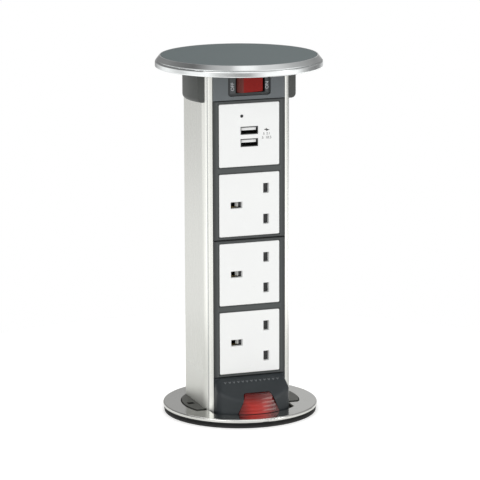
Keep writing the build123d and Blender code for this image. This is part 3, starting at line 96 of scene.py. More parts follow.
# %% A small calculator for shader nodes
class Value:
    """One output of a node, which Python can calculate with."""

    def __init__(self, graph, socket):
        self.graph = graph
        self.socket = socket

    def math(self, operation, first, second):
        return self.graph.node("ShaderNodeMath", {"operation": operation}, {0: first, 1: second})

    def __add__(self, other):
        return self.math("ADD", self, other)

    __radd__ = __add__

    def __mul__(self, other):
        return self.math("MULTIPLY", self, other)

    __rmul__ = __mul__

    def __sub__(self, other):
        return self.math("SUBTRACT", self, other)

    def __rsub__(self, other):
        return self.math("SUBTRACT", other, self)

    def __gt__(self, other):
        return self.math("GREATER_THAN", self, other)

    def __lt__(self, other):
        return self.math("LESS_THAN", self, other)

    def larger(self, other):
        return self.math("MAXIMUM", self, other)

    def size(self):
        return self.larger(0.0 - self)

    def to_nearest(self, step):
        """Distance to the nearest whole multiple of a step."""
        return self.math("PINGPONG", self, step / 2)

    def turn_from(self, ahead):
        """Degrees from -180 to 180, for a direction that is self to the right and ahead forwards."""
        return self.math("ARCTAN2", self, ahead) * math.degrees(1)

    def between(self, low, high):
        """0 at low, 1 at high, and a straight ramp from one to the other."""
        ends = {"From Min": low, "From Max": high}
        return self.graph.node("ShaderNodeMapRange", {"clamp": True}, {"Value": self, **ends})


class Graph:
    """The node tree of one material or world, with the few nodes that every finish here needs."""

    def __init__(self, owner):
        owner.use_nodes = True
        self.owner = owner
        self.tree = owner.node_tree
        self.tree.nodes.clear()

    def node(self, kind, settings=None, inputs=None, output=0):
        made = self.tree.nodes.new(kind)
        for name, setting in (settings or {}).items():
            setattr(made, name, setting)
        for name, value in (inputs or {}).items():
            if isinstance(value, Value):
                self.tree.links.new(value.socket, made.inputs[name])
            else:
                made.inputs[name].default_value = value
        return Value(self, made.outputs[output]) if made.outputs else made

    def place(self):
        return self.node("ShaderNodeTexCoord", output="Object")

    def along(self, axis):
        """Distance from the origin along X, Y or Z."""
        return self.node("ShaderNodeSeparateXYZ", inputs={0: self.place()}, output=axis)

    def radius(self):
        """Distance from the upright axis, for finishes that were turned on a lathe."""
        flat = self.node("ShaderNodeVectorMath", {"operation": "MULTIPLY"}, {0: self.place(), 1: (1, 1, 0)})
        return self.node("ShaderNodeVectorMath", {"operation": "LENGTH"}, {0: flat}, output="Value")

    def noise(self, grains, detail=2.0):
        """Noise from 0 to 1, where grains says how many lie in a metre along each axis."""
        looks = {"Vector": self.place(), "Scale": grains}
        scaled = self.node("ShaderNodeMapping", {"vector_type": "POINT"}, looks)
        return self.node("ShaderNodeTexNoise", inputs={"Vector": scaled, "Scale": 1.0, "Detail": detail})

    def line_noise(self, distance, lines, detail=2.0):
        """Noise in one dimension: lines across a distance, as a cutting tool leaves them."""
        looks = {"W": distance * lines, "Scale": 1.0, "Detail": detail}
        return self.node("ShaderNodeTexNoise", {"noise_dimensions": "1D"}, looks)

    def levels(self, value, steps):
        """A grey level for each value, from (value, level) steps with straight ramps between them."""
        low, high = steps[0][0], steps[-1][0]
        ramp = self.node("ShaderNodeValToRGB", inputs={"Fac": value.between(low, high)})
        stops = ramp.socket.node.color_ramp.elements
        for place, level in steps[1:-1]:
            stops.new((place - low) / (high - low))
        for stop, (place, level) in zip(stops, steps):
            stop.color = (level, level, level, 1)
        return ramp

    def colours(self, share, first, second):
        """The first colour where share is 0, the second where it is 1. Either may be an earlier mix."""
        first, second = [(*colour, 1) if isinstance(colour, tuple) else colour for colour in (first, second)]
        return self.node("ShaderNodeMix", {"data_type": "RGBA"}, {0: share, 6: first, 7: second}, output=2)

    def bump(self, height, depth):
        return self.node("ShaderNodeBump", inputs={"Height": height, "Distance": depth, "Strength": 1.0})

    def surface(self, **sockets):
        """A Principled surface. An underscore in a name stands for the space in the socket's name."""
        named = {name.replace("_", " "): value for name, value in sockets.items()}
        named = {name: (*value, 1) if isinstance(value, tuple) else value for name, value in named.items()}
        shader = self.node("ShaderNodeBsdfPrincipled", inputs=named)
        self.node("ShaderNodeOutputMaterial", inputs={"Surface": shader})
        return self.owner


def new_graph(name):
    return Graph(bpy.data.materials.new(name))


print("calculator ready")

# %% [markdown]
# Some pieces are made here from a few corners and bmesh operators. Each needs the same ending: outward
# normals, smooth shading except at real edges, and an object that stays at the origin with its place in
# its mesh.

# %% Finish a shape
def finished(name, shape, material, smooth_below=30):
    """Writes a bmesh to an object at the origin, smooth except at edges over smooth_below degrees."""
    bmesh.ops.remove_doubles(shape, verts=shape.verts, dist=1e-7)
    bmesh.ops.recalc_face_normals(shape, faces=shape.faces)
    for face in shape.faces:
        face.smooth = True
    for edge in shape.edges:
        edge.smooth = edge.calc_face_angle(0) < math.radians(smooth_below)
    mesh = bpy.data.meshes.new(name)
    shape.to_mesh(mesh)
    shape.free()
    mesh.materials.append(material)
    made = bpy.data.objects.new(name, mesh)
    bpy.context.scene.collection.objects.link(made)
    return made


def turned(name, outline, material, steps):
    """A ring spun right round the upright axis from a closed outline of (radius, height) corners."""
    shape = bmesh.new()
    corners = [shape.verts.new((radius, 0, height)) for radius, height in outline]
    edges = [shape.edges.new((corners[i - 1], corners[i])) for i in range(len(corners))]
    bmesh.ops.spin(
        shape,
        geom=corners + edges,
        cent=(0, 0, 0),
        axis=(0, 0, 1),
        angle=math.tau,
        steps=steps,
        use_merge=True,
    )
    return finished(name, shape, material)


print("shapes can be finished")

# %% [markdown]
# The tower stands in a round desk top of pale laminate, 25 mm thick, with the hole that its barrel goes
# through. That is the floor of our studio. Its top also glows, but only where the camera, a reflection or
# clear plastic sees it: the background turns white, the shadow on it stays, and no extra light falls on
# the tower. Reflections get less of that glow, so that the metal near the desk keeps some depth.

# %% Desk top
DESK_RADIUS = 300 * MM
DESK_HOLE = 50.2 * MM
DESK_TOP = -0.1 * MM
DESK_THICK = 24.6 * MM
DESK_EDGE = 1.5 * MM
DESK_STEPS = 192
DESK_GLOW = 0.42
DESK_GLOSSY_GLOW = 0.14


def shown_rays(graph, glossy_share=1.0):
    """1 for the camera and clear plastic, a share for reflections, 0 for light that falls on things."""
    path = graph.node("ShaderNodeLightPath")
    rays = [path.socket.node.outputs[f"Is {kind} Ray"] for kind in ("Camera", "Glossy", "Transmission")]
    seen, mirrored, through = [Value(graph, socket) for socket in rays]
    return seen.larger(mirrored * glossy_share).larger(through)


def laminate():
    graph = new_graph("desk_laminate")
    top = graph.along("Z") > DESK_TOP - DESK_EDGE / 2
    rays = shown_rays(graph, DESK_GLOSSY_GLOW / DESK_GLOW)
    glow = graph.colours(rays * top * DESK_GLOW, (0.0, 0.0, 0.0), (1.0, 1.0, 1.0))
    speckle = graph.noise((900, 900, 900))
    colour = graph.colours(speckle, (0.80, 0.80, 0.79), (0.84, 0.84, 0.83))
    return graph.surface(Base_Color=colour, Roughness=0.6, Emission_Color=glow, Emission_Strength=1.0)


desk_outline = [
    (DESK_HOLE, DESK_TOP),
    (DESK_RADIUS - DESK_EDGE, DESK_TOP),
    (DESK_RADIUS, DESK_TOP - DESK_EDGE),
    (DESK_RADIUS, DESK_TOP - DESK_THICK),
    (DESK_HOLE, DESK_TOP - DESK_THICK),
]
desk = turned("desk_top", desk_outline, laminate(), DESK_STEPS)
print("desk top:", round(2 * DESK_RADIUS, 3), "m across")

# %% [markdown]
# Polished metal has no colour of its own: it shows the room. So the room is painted for the metal, and
# only reflections see it. We name each direction by its turn from the camera, positive to the right. Low
# down the wall is whitest to both sides, for the corners of the column. The band about the desk's height
# is what the lid's lip mirrors: two bright windows with a grey gap in front of the camera. Higher up, and
# on the ceiling, lies what the bevel and the flat ring mirror.

# %% World
WORLD_LIGHT = 0.62


def studio_world():
    graph = Graph(bpy.data.worlds.new("studio"))
    level = graph.colours(shown_rays(graph), (WORLD_LIGHT, WORLD_LIGHT, WORLD_LIGHT), (1.0, 1.0, 1.0))
    background = graph.node("ShaderNodeBackground", inputs={"Color": level, "Strength": 1.0})
    graph.node("ShaderNodeOutputWorld", inputs={"Surface": background})
    return graph.owner


bpy.context.scene.world = studio_world()
print("world lights at", WORLD_LIGHT)

# %% Studio wall and ceiling
ROOM_RADIUS = 2.2
ROOM_LOW = -1.4
ROOM_HIGH = 1.9
ROOM_STRENGTH = 1.4
ROOM_STEPS = 96
BAND_STARTS = (-0.25, -0.215)
BAND_ENDS = (0.12, 0.26)
LOW_LEVELS = [
    (-180, 0.70), (-155, 0.69), (-135, 0.70), (-112, 0.76), (-92, 1.10), (-50, 1.35), (-36, 0.90),
    (-24, 0.86), (-12, 1.15), (4, 1.05), (16, 0.74), (66, 0.74), (84, 1.20), (142, 1.40), (156, 1.10),
    (180, 0.90),
]
BAND_LEVELS = [
    (-180, 0.24), (-166, 0.25), (-152, 0.34), (-138, 0.54), (-126, 0.78), (-112, 0.86), (-95, 0.66),
    (-84, 0.60), (-70, 0.86), (-42, 0.88), (-30, 0.52), (-14, 0.38), (0, 0.31), (14, 0.35), (26, 0.66),
    (38, 0.94), (86, 0.94), (98, 0.50), (112, 0.25), (128, 0.19), (142, 0.25), (154, 0.46), (168, 0.54),
    (180, 0.54),
]
HIGH_LEVELS = [
    (-180, 0.30), (-172, 0.29), (-161, 0.18), (-134, 0.21), (-114, 0.16), (-91, 0.12), (-78, 0.21),
    (-62, 0.36), (-45, 0.43), (-20, 0.45), (-6, 0.76), (10, 0.92), (34, 0.88), (52, 0.64), (78, 0.60),
    (91, 0.50), (103, 0.40), (125, 0.30), (143, 0.23), (161, 0.26), (172, 0.39), (180, 0.39),
]
camera_side = CAMERA_PLACE.xy.normalized()


def room_finish():
    graph = new_graph("studio_room")
    x, y, height = graph.along("X"), graph.along("Y"), graph.along("Z")
    ahead = x * camera_side.x + y * camera_side.y
    aside = y * camera_side.x - x * camera_side.y
    direction = aside.turn_from(ahead)
    band = graph.levels(direction, BAND_LEVELS)
    lower = graph.colours(height.between(*BAND_STARTS), graph.levels(direction, LOW_LEVELS), band)
    colour = graph.colours(height.between(*BAND_ENDS), lower, graph.levels(direction, HIGH_LEVELS))
    glow = graph.node("ShaderNodeEmission", inputs={"Color": colour, "Strength": ROOM_STRENGTH})
    graph.node("ShaderNodeOutputMaterial", inputs={"Surface": glow})
    return graph.owner


def studio_room():
    """A round wall with the ceiling as its lid, open below."""
    shape = bmesh.new()
    bmesh.ops.create_circle(shape, segments=ROOM_STEPS, radius=ROOM_RADIUS, cap_ends=True)
    bmesh.ops.translate(shape, vec=(0, 0, ROOM_HIGH), verts=shape.verts)
    rim = [edge for edge in shape.edges if edge.is_boundary]
    wall = bmesh.ops.extrude_edge_only(shape, edges=rim)["geom"]
    foot = [part for part in wall if isinstance(part, bmesh.types.BMVert)]
    bmesh.ops.translate(shape, vec=(0, 0, ROOM_LOW - ROOM_HIGH), verts=foot)
    made = finished("studio_room", shape, room_finish())
    made.visible_camera = False
    made.visible_diffuse = False
    made.visible_transmission = False
    made.visible_volume_scatter = False
    made.visible_shadow = False
    return made


room = studio_room()
print("room:", 2 * ROOM_RADIUS, "m across")

# %% [markdown]
# Three soft lamps light the tower: a broad one on the left that whitens the column's front corner, one on
# the right that does the same there, and one above and behind. The camera never sees the lamps
# themselves.

# %% Lamps
LAMP_AIM = Vector((0, 0, 0.12))


def softbox(name, place, size, power):
    lamp_data = bpy.data.lights.new(name, "AREA")
    lamp_data.shape = "RECTANGLE"
    lamp_data.size, lamp_data.size_y = size
    lamp_data.energy = power
    lamp = bpy.data.objects.new(name, lamp_data)
    lamp.location = place
    lamp.rotation_euler = (LAMP_AIM - Vector(place)).to_track_quat("-Z", "Y").to_euler()
    lamp.visible_camera = False
    bpy.context.scene.collection.objects.link(lamp)
    return lamp


lamps = [
    softbox("lamp_left", (-1.7, -1.3, 0.75), (1.6, 1.6), 20),
    softbox("lamp_right", (1.7, -1.5, 0.75), (1.2, 1.6), 15),
    softbox("lamp_top", (0.2, 0.9, 1.75), (1.4, 0.8), 8),
]
print("lamps:", len(lamps))

# %% [markdown]
# Each CAD part keeps its shape and gets its finish in its material slot. One helper does that for a list
# of parts, and notes which were dressed, so that we can check at the end that none was forgotten.

# %% Give parts a finish
dressed = set()


def dress(material, *names):
    for name in names:
        mesh = nodes[name].data
        mesh.materials.clear()
        mesh.materials.append(material)
        dressed.add(name)
    print(material.name, "on", ", ".join(names))


# %% [markdown]
# The column is extruded aluminium: the die draws faint straight lines along it, and the anodised skin
# scatters light softly. So the noise below is stretched along Z, where a metre holds only a few grains,
# and it moves both the gloss and the height of the surface. A slower noise lets the tone drift, as it
# does on long extrusions. The fine groove down each front corner is painted darker, as painted shade.
# At the foot the skin is duller, because the guide there rubs it on every lift.

# %% Satin aluminium of the column
GROOVE_X = 30.16 * MM
GROOVE_Y = -18.66 * MM
GROOVE_SHADE_FADES = (0.20 * MM, 0.45 * MM)
FOOT_RUBBED = (8 * MM, 34 * MM)
FOOT_DULLING = 0.22


def satin_aluminium():
    graph = new_graph("satin_aluminium")
    die_lines = graph.noise((1600, 1600, 3), detail=3)
    drift = graph.noise((9, 9, 5), detail=1)
    off_groove = (graph.along("X").size() - GROOVE_X).size().larger((graph.along("Y") - GROOVE_Y).size())
    rubbed = 1.0 - graph.along("Z").between(*FOOT_RUBBED)
    skin = graph.colours(drift, (0.70, 0.705, 0.665), (0.75, 0.755, 0.715))
    # Painted shade: the colour darkens along the fine groove of each front corner.
    colour = graph.colours(off_groove.between(*GROOVE_SHADE_FADES), (0.42, 0.43, 0.44), skin)
    return graph.surface(
        Base_Color=colour,
        Metallic=1.0,
        Roughness=0.21 + die_lines * 0.12 + rubbed * FOOT_DULLING,
        Normal=graph.bump(die_lines, 0.008 * MM),
    )


dress(satin_aluminium(), "column_extrusion")

# %% [markdown]
# The lid's rim and the ring on the desk were turned on a lathe. The tool leaves rings about the axis, so
# the noise runs along the radius, and along the height where the rim stands upright. Polishing has nearly
# erased them on the ring, and left a soft sheen on the rim.

# %% Turned metals
def turned_metal(name, dark, light, roughness, depth, lines=2500):
    graph = new_graph(name)
    tool_lines = graph.line_noise(graph.radius() + graph.along("Z"), lines, detail=3)
    smudges = graph.noise((40, 40, 40), detail=3)
    return graph.surface(
        Base_Color=graph.colours(smudges, dark, light),
        Metallic=1.0,
        Roughness=roughness + tool_lines * 0.06 + smudges * 0.06,
        Normal=graph.bump(tool_lines, depth),
    )


lid_metal = turned_metal("lid_metal", (0.70, 0.72, 0.72), (0.76, 0.78, 0.78), 0.08, 0.002 * MM)
polished_steel = turned_metal("polished_steel", (0.70, 0.70, 0.67), (0.76, 0.76, 0.735), 0.08, 0.0015 * MM)
dress(lid_metal, "cap_rim")
dress(polished_steel, "trim_ring")

# %% [markdown]
# The disc in the lid has a fine slate grey coat with a little metal in it, so it is matt yet shows a slow
# gradient from the room. A coat like this has a spray texture: tiny soft bumps, a few to a millimetre.

# %% Slate finish of the lid
def slate_finish():
    graph = new_graph("slate_finish")
    spray = graph.noise((1800, 1800, 1800))
    drift = graph.noise((14, 14, 14))
    return graph.surface(
        Base_Color=graph.colours(drift, (0.092, 0.126, 0.131), (0.110, 0.145, 0.149)),
        Metallic=0.55,
        Roughness=0.42 + spray * 0.08,
        Normal=graph.bump(spray, 0.01 * MM),
    )


dress(slate_finish(), "cap_disc")

# %% [markdown]
# Most other parts are moulded plastic. A mould is spark-eroded, which leaves an even grain that keeps
# fingers from showing. One function makes them all from a colour, a second colour that it drifts to, a
# roughness, and how coarse and deep the grain is.

# %% Moulded plastics
def moulded(name, colour, drifts_to, roughness, grains=1500, depth=0.012 * MM, **more):
    graph = new_graph(name)
    grain = graph.noise((grains, grains, grains))
    drift = graph.noise((22, 22, 22), detail=3)
    return graph.surface(
        Base_Color=graph.colours(drift, colour, drifts_to),
        Roughness=roughness + (grain - 0.5) * 0.12,
        Normal=graph.bump(grain, depth),
        **more,
    )


black_plastic = moulded(
    "black_plastic", (0.006, 0.006, 0.006), (0.010, 0.010, 0.010), 0.55, Specular_IOR_Level=0.2
)
foot_plastic = moulded(
    "foot_plastic", (0.020, 0.025, 0.028), (0.026, 0.031, 0.034), 0.45, Specular_IOR_Level=0.30
)
grip_plastic = moulded(
    "grip_plastic", (0.042, 0.047, 0.044), (0.054, 0.058, 0.053), 0.42, Specular_IOR_Level=0.5
)
head_plastic = moulded("head_plastic", (0.098, 0.112, 0.119), (0.118, 0.132, 0.139), 0.40)
inner_plastic = moulded("inner_plastic", (0.020, 0.020, 0.020), (0.028, 0.028, 0.028), 0.55)
white_plastic = moulded(
    "white_plastic", (0.868, 0.876, 0.868), (0.888, 0.896, 0.888), 0.30, grains=900, depth=0.004 * MM
)

dress(black_plastic, "housing_barrel", "barrel_end_cap", "ring_nut", "cable_gland", "gland_nut")
dress(foot_plastic, "front_cover")
dress(grip_plastic, "side_grip_left", "side_grip_right", "cap_carrier")
dress(head_plastic, "switch_panel")
dress(inner_plastic, "socket_housing_1", "socket_housing_2", "socket_housing_3", "usb_housing")
dress(inner_plastic, "terminal_block", "switch_body", "charger_parts")
dress(white_plastic, "usb_faceplate", "usb_tongues")
dress(white_plastic, "socket_faceplate_1", "socket_faceplate_2", "socket_faceplate_3")

# %% [markdown]
# The module frames are painted darker along their edges, as painted shade: beside the white fronts, where
# they meet the column, and at the joint between two frames. The modules repeat every 50 mm, so one
# distance to the nearest border serves them all. The bezel of the switch gets the same painted shade,
# along its rim and round its window.

# %% Frames and bezel with painted edge shade
MODULE_PITCH = 50 * MM
PANEL_HALF = 22.5 * MM
FRAME_LOW_Z = 29.5 * MM
BEZEL_MIDDLE = (0.3 * MM, 241.4 * MM)
BEZEL_HALF = (15.7 * MM, 9.0 * MM)
WINDOW_MIDDLE_X = 1.3 * MM
WINDOW_HALF = (10.8 * MM, 7.1 * MM)
BY_PANEL = (0.5 * MM, 1.1 * MM)
BY_COLUMN = (23.6 * MM, 26.4 * MM)
BY_JOINT = (0.7 * MM, 1.4 * MM)
BY_RIM = (-1.9 * MM, -1.3 * MM)
BY_WINDOW = (0.3 * MM, 0.7 * MM)


def edge_shaded(name, shade_share, colour, shade_colour, roughness):
    graph = new_graph(name)
    grain = graph.noise((1500, 1500, 1500))
    drift = graph.noise((22, 22, 22), detail=3)
    shade = graph.colours(drift * 0.5, colour, shade_colour)
    # Painted shade: the colour darkens along the edges of the frames and the bezel.
    return graph.surface(
        Base_Color=graph.colours(shade_share(graph), shade, shade_colour),
        Roughness=roughness + (grain - 0.5) * 0.12,
        Normal=graph.bump(grain, 0.012 * MM),
    )


def frame_edge_shade(graph):
    across = graph.along("X").size()
    rise = graph.along("Z") - FRAME_LOW_Z
    off_panel = (across - PANEL_HALF).larger(MODULE_PITCH / 2 - PANEL_HALF - rise.to_nearest(MODULE_PITCH))
    beside_panel = 1.0 - off_panel.between(*BY_PANEL)
    beside_column = across.between(*BY_COLUMN)
    at_joint = 1.0 - rise.to_nearest(2 * MODULE_PITCH).between(*BY_JOINT)
    return beside_panel.larger(beside_column).larger(at_joint)


def bezel_edge_shade(graph):
    x = graph.along("X")
    up = (graph.along("Z") - BEZEL_MIDDLE[1]).size()
    off_middle = ((x - BEZEL_MIDDLE[0]).size() - BEZEL_HALF[0]).larger(up - BEZEL_HALF[1])
    off_window = ((x - WINDOW_MIDDLE_X).size() - WINDOW_HALF[0]).larger(up - WINDOW_HALF[1])
    rim = off_middle.between(*BY_RIM)
    return rim.larger(1.0 - off_window.between(*BY_WINDOW))


frame_plastic = edge_shaded("frame_plastic", frame_edge_shade, (0.066, 0.074, 0.073), (0.018, 0.021, 0.021), 0.42)
bezel_plastic = edge_shaded("bezel_plastic", bezel_edge_shade, (0.062, 0.070, 0.073), (0.014, 0.017, 0.018), 0.44)
dress(frame_plastic, "module_frame_lower", "module_frame_upper")
dress(bezel_plastic, "switch_bezel")

# %% [markdown]
# The foot guide shows as two lands beside the column. They are rubbed to a warm grey on top. Below the
# top, on their sides and in the recess for the lifting finger in the left one, the colour is painted
# black as painted shade, so height alone tells the shader where the grey ends.

# %% Foot guide
LAND_SHADE_TOP = (6.5 * MM, 6.9 * MM)


def foot_guide_finish():
    graph = new_graph("land_plastic")
    on_top = graph.along("Z").between(*LAND_SHADE_TOP)
    grain = graph.noise((1500, 1500, 1500))
    drift = graph.noise((120, 120, 120), detail=3)
    rubbed = graph.colours(drift, (0.066, 0.068, 0.060), (0.094, 0.096, 0.086))
    # Painted shade: below the top of the lands the colour is near black.
    return graph.surface(
        Base_Color=graph.colours(on_top, (0.008, 0.008, 0.007), rubbed),
        Roughness=0.50 + (grain - 0.5) * 0.12,
        Normal=graph.bump(grain, 0.012 * MM),
    )


dress(foot_guide_finish(), "foot_guide")

# %% [markdown]
# Red plastic comes in two kinds here. The rocker is glossy and nearly opaque, with a deep red body, and
# its left end face is painted a duller brownish red as a painted reflection. The release tab is clear red,
# so some light goes through it, with a share of transmission that stays the same all over. Its colour is
# painted darker towards its ends and its top, as painted shade. A clear coat makes the right half glossy,
# where thumbs have polished its ribs.

# %% Red plastics
ROCKER_END_REFLECTION = (-5.2 * MM, -4.2 * MM)
TAB_SHADE_COLOUR = (0.110, 0.008, 0.007)
TAB_LEFT_END = (-14 * MM, -5 * MM)
TAB_RIGHT_END = (4 * MM, 12 * MM)
TAB_TOP = (12 * MM, 18 * MM)
TAB_COATED = (-3 * MM, 6 * MM)
RIGHT_END_SHADE = 0.9
TOP_SHADE = 0.85


def red_rocker():
    graph = new_graph("red_plastic")
    flow = graph.noise((60, 60, 200))
    body = graph.colours(flow, (0.235, 0.009, 0.007), (0.275, 0.012, 0.009))
    end_face_reflection = 1.0 - graph.along("X").between(*ROCKER_END_REFLECTION)
    # Painted reflection: the rocker's left end face is coloured a duller brownish red.
    return graph.surface(
        Base_Color=graph.colours(end_face_reflection, body, (0.150, 0.040, 0.034)),
        Roughness=0.48 + flow * 0.06,
        Specular_IOR_Level=0.10,
        Normal=graph.bump(flow, 0.01 * MM),
    )


def red_clear():
    graph = new_graph("red_clear_plastic")
    flow = graph.noise((90, 90, 220), detail=3)
    x = graph.along("X")
    lit = graph.colours(flow, (0.50, 0.016, 0.012), (0.62, 0.050, 0.036))
    left_end = 1.0 - x.between(*TAB_LEFT_END)
    right_end = x.between(*TAB_RIGHT_END) * RIGHT_END_SHADE
    top = graph.along("Z").between(*TAB_TOP) * TOP_SHADE
    tab_shade = left_end.larger(right_end).larger(top)
    # Painted shade: the colour darkens towards both ends and the top of the tab.
    return graph.surface(
        Base_Color=graph.colours(tab_shade, lit, TAB_SHADE_COLOUR),
        Roughness=0.10 + flow * 0.08,
        Specular_IOR_Level=0.18,
        Coat_Weight=x.between(*TAB_COATED),
        Coat_Roughness=0.05,
        Transmission_Weight=0.30,
        Normal=graph.bump(flow, 0.02 * MM),
    )


dress(red_rocker(), "reset_rocker")
dress(red_clear(), "release_tab")

# %% [markdown]
# Behind each pin hole waits a shutter. It is dark, but the tip of its tooth, which the earth pin meets
# first, is painted pale as a painted highlight: a step on the object's own X tells the shader where that tip
# starts.

# %% Shutters
TOOTH_HIGHLIGHT_END = -7.4 * MM


def shutter_plastic():
    graph = new_graph("shutter_plastic")
    tip_highlight = graph.along("X") < TOOTH_HIGHLIGHT_END
    grain = graph.noise((1500, 1500, 1500))
    body = graph.colours(grain, (0.030, 0.030, 0.032), (0.045, 0.045, 0.047))
    # Painted highlight: the tip of the tooth is coloured pale grey.
    return graph.surface(
        Base_Color=graph.colours(tip_highlight, body, (0.62, 0.62, 0.60)),
        Roughness=0.45 + grain * 0.1,
        Normal=graph.bump(grain, 0.01 * MM),
    )


dress(shutter_plastic(), "shutter_1", "shutter_2", "shutter_3")

# %% [markdown]
# What is left is small or hidden, but a reader who takes the tower apart should still find real
# materials: zinc plated steel, brass contacts, copper strips, a green board, a dark lamp and rubber.
# Metals get a fine brushed noise; the plating's yellow and blue tints are two colours mixed by a slow
# noise.

# %% Small metals, board, lamp and rubber
TRACKS_PER_METRE = 420
TRACK_LEVEL = 0.56


def small_metal(name, first, second, roughness):
    graph = new_graph(name)
    brushed = graph.noise((2600, 500, 500))
    tint = graph.noise((260, 260, 260))
    return graph.surface(
        Base_Color=graph.colours(tint, first, second),
        Metallic=1.0,
        Roughness=roughness + brushed * 0.14,
        Normal=graph.bump(brushed, 0.004 * MM),
    )


def green_board():
    graph = new_graph("board")
    weave = graph.noise((1200, 1200, 1200), detail=1)
    slant = graph.along("X") + graph.along("Z") * 0.5
    tracks = graph.line_noise(slant, TRACKS_PER_METRE, detail=0) > TRACK_LEVEL
    return graph.surface(
        Base_Color=graph.colours(tracks, (0.010, 0.085, 0.030), (0.030, 0.160, 0.060)),
        Roughness=0.30 + weave * 0.1,
        Normal=graph.bump(tracks, 0.02 * MM),
    )


zinc_steel = small_metal("steel", (0.62, 0.63, 0.64), (0.70, 0.70, 0.68), 0.22)
brass = small_metal("contact_brass", (0.68, 0.50, 0.20), (0.76, 0.58, 0.27), 0.20)
copper = small_metal("strip_copper", (0.70, 0.36, 0.22), (0.78, 0.46, 0.30), 0.24)
port_steel = small_metal("port_steel", (0.10, 0.105, 0.105), (0.15, 0.155, 0.155), 0.26)
lamp_plastic = moulded("lamp", (0.003, 0.003, 0.004), (0.006, 0.006, 0.008), 0.25)
rubber = moulded("gasket_rubber", (0.010, 0.010, 0.010), (0.016, 0.016, 0.016), 0.75, grains=2600)
dress(port_steel, "usb_ports")
dress(zinc_steel, "pressure_washer", "release_spring", "trim_ring_screws", "side_grip_screws")
dress(zinc_steel, "cap_screws", "foot_screws", "cover_screws", "terminal_screws", "end_cap_screws")
dress(zinc_steel, "shutter_spring_1", "shutter_spring_2", "shutter_spring_3")
dress(brass, "socket_contacts_1", "socket_contacts_2", "socket_contacts_3", "switch_terminals")
dress(copper, "line_busbar", "neutral_busbar", "earth_busbar")
dress(green_board(), "usb_board")
dress(lamp_plastic, "status_led")
dress(rubber, "desk_gasket")
print("dressed", len(dressed), "of", len(nodes))

# %% [markdown]
# Four springs are squeezed when a shutter slides or the tab is pushed in. A copy of each spring with its
# own mesh is put on the tower's body in its place, and the CAD spring is hidden.

# %% Springs that squeeze
TAB_TRAVEL = 4.0 * MM
SHUTTER_TRAVEL = 5.2 * MM
ALONG_X = Vector((1, 0, 0))
ALONG_Y = Vector((0, 1, 0))
squeezed = [
    ("release_spring", "tab_push", ALONG_Y, TAB_TRAVEL),
    ("shutter_spring_1", "shutter_top_slide", ALONG_X, SHUTTER_TRAVEL),
    ("shutter_spring_2", "shutter_middle_slide", ALONG_X, SHUTTER_TRAVEL),
    ("shutter_spring_3", "shutter_bottom_slide", ALONG_X, SHUTTER_TRAVEL),
]
for name, joint, axis, travel in squeezed:
    low, high = [Vector(corner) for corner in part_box(name)]
    spring = bpy.data.objects.new(f"squeezed_{name}", nodes[name].data.copy())
    bpy.context.scene.collection.objects.link(spring)
    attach(spring, "tower")
    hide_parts(name)
    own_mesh(spring)

# %% [markdown]
# Words on a switch are pad printed: a film of ink a few hundredths of a millimetre thick. We take them
# from Blender's own font, turn them into a mesh, stand them up to face the front, and move the corners to
# their place, so that the object itself stays at the origin.

# %% Printed words and numbers
INK_THICK = 0.04 * MM
INK_SINK = 0.01 * MM
FONT_CAP_HEIGHT = 0.73


def ink(name, colour):
    graph = new_graph(name)
    patchy = graph.noise((2200, 2200, 2200))
    faded = tuple(part * 0.82 + 0.05 for part in colour)
    return graph.surface(Base_Color=graph.colours(patchy, colour, faded), Roughness=0.5 + patchy * 0.1)


def printed(name, words, centre, cap_height, quarter_turns, material):
    """Words that face the front, centred on a point, turned by quarter turns as seen from the front."""
    curve = bpy.data.curves.new(name, "FONT")
    curve.body = words
    curve.size = cap_height / FONT_CAP_HEIGHT
    curve.resolution_u = 3
    curve.extrude = (INK_THICK + INK_SINK) / 2
    curve.align_x = "CENTER"
    writing = bpy.data.objects.new(name, curve)
    bpy.context.scene.collection.objects.link(writing)
    bpy.context.view_layer.update()
    mesh = bpy.data.meshes.new_from_object(writing.evaluated_get(bpy.context.evaluated_depsgraph_get()))
    bpy.data.objects.remove(writing)
    shape = bmesh.new()
    shape.from_mesh(mesh)
    middle = Matrix.Translation((0, -cap_height / 2, (INK_THICK - INK_SINK) / 2))
    upright = Matrix.Rotation(math.pi / 2, 4, "X")
    turned_round = Matrix.Rotation(-quarter_turns * math.pi / 2, 4, "Y")
    placed = Matrix.Translation(centre) @ turned_round @ upright @ middle
    bmesh.ops.transform(shape, matrix=placed, verts=shape.verts)
    return finished(name, shape, material)


bezel_low, bezel_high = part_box("switch_bezel")
bezel_middle_z = (bezel_low[2] + bezel_high[2]) / 2
SWITCH_WORDS = (("mark_off", "OFF", -12.1 * MM), ("mark_on", "ON", 13.5 * MM))
SWITCH_WORD_DROP = 2.4 * MM
SWITCH_WORD_HIGH = 2.5 * MM
pale_ink = ink("pale_ink", (0.60, 0.61, 0.63))
grey_ink = ink("grey_ink", (0.030, 0.030, 0.030))
for name, words, across in SWITCH_WORDS:
    centre = (across, bezel_low[1], bezel_middle_z - SWITCH_WORD_DROP)
    word = printed(name, words, centre, SWITCH_WORD_HIGH, 1, pale_ink)
    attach(word, "tower")
    print(word.name, "has", len(word.data.polygons), "faces")

# %% [markdown]
# Beside the two charging ports the real front has a small grey print. Ours is generic: a lightning flash
# and two rows of plain numbers. The flash is six corners filled as one face, and pulled out by the
# thickness of the ink.

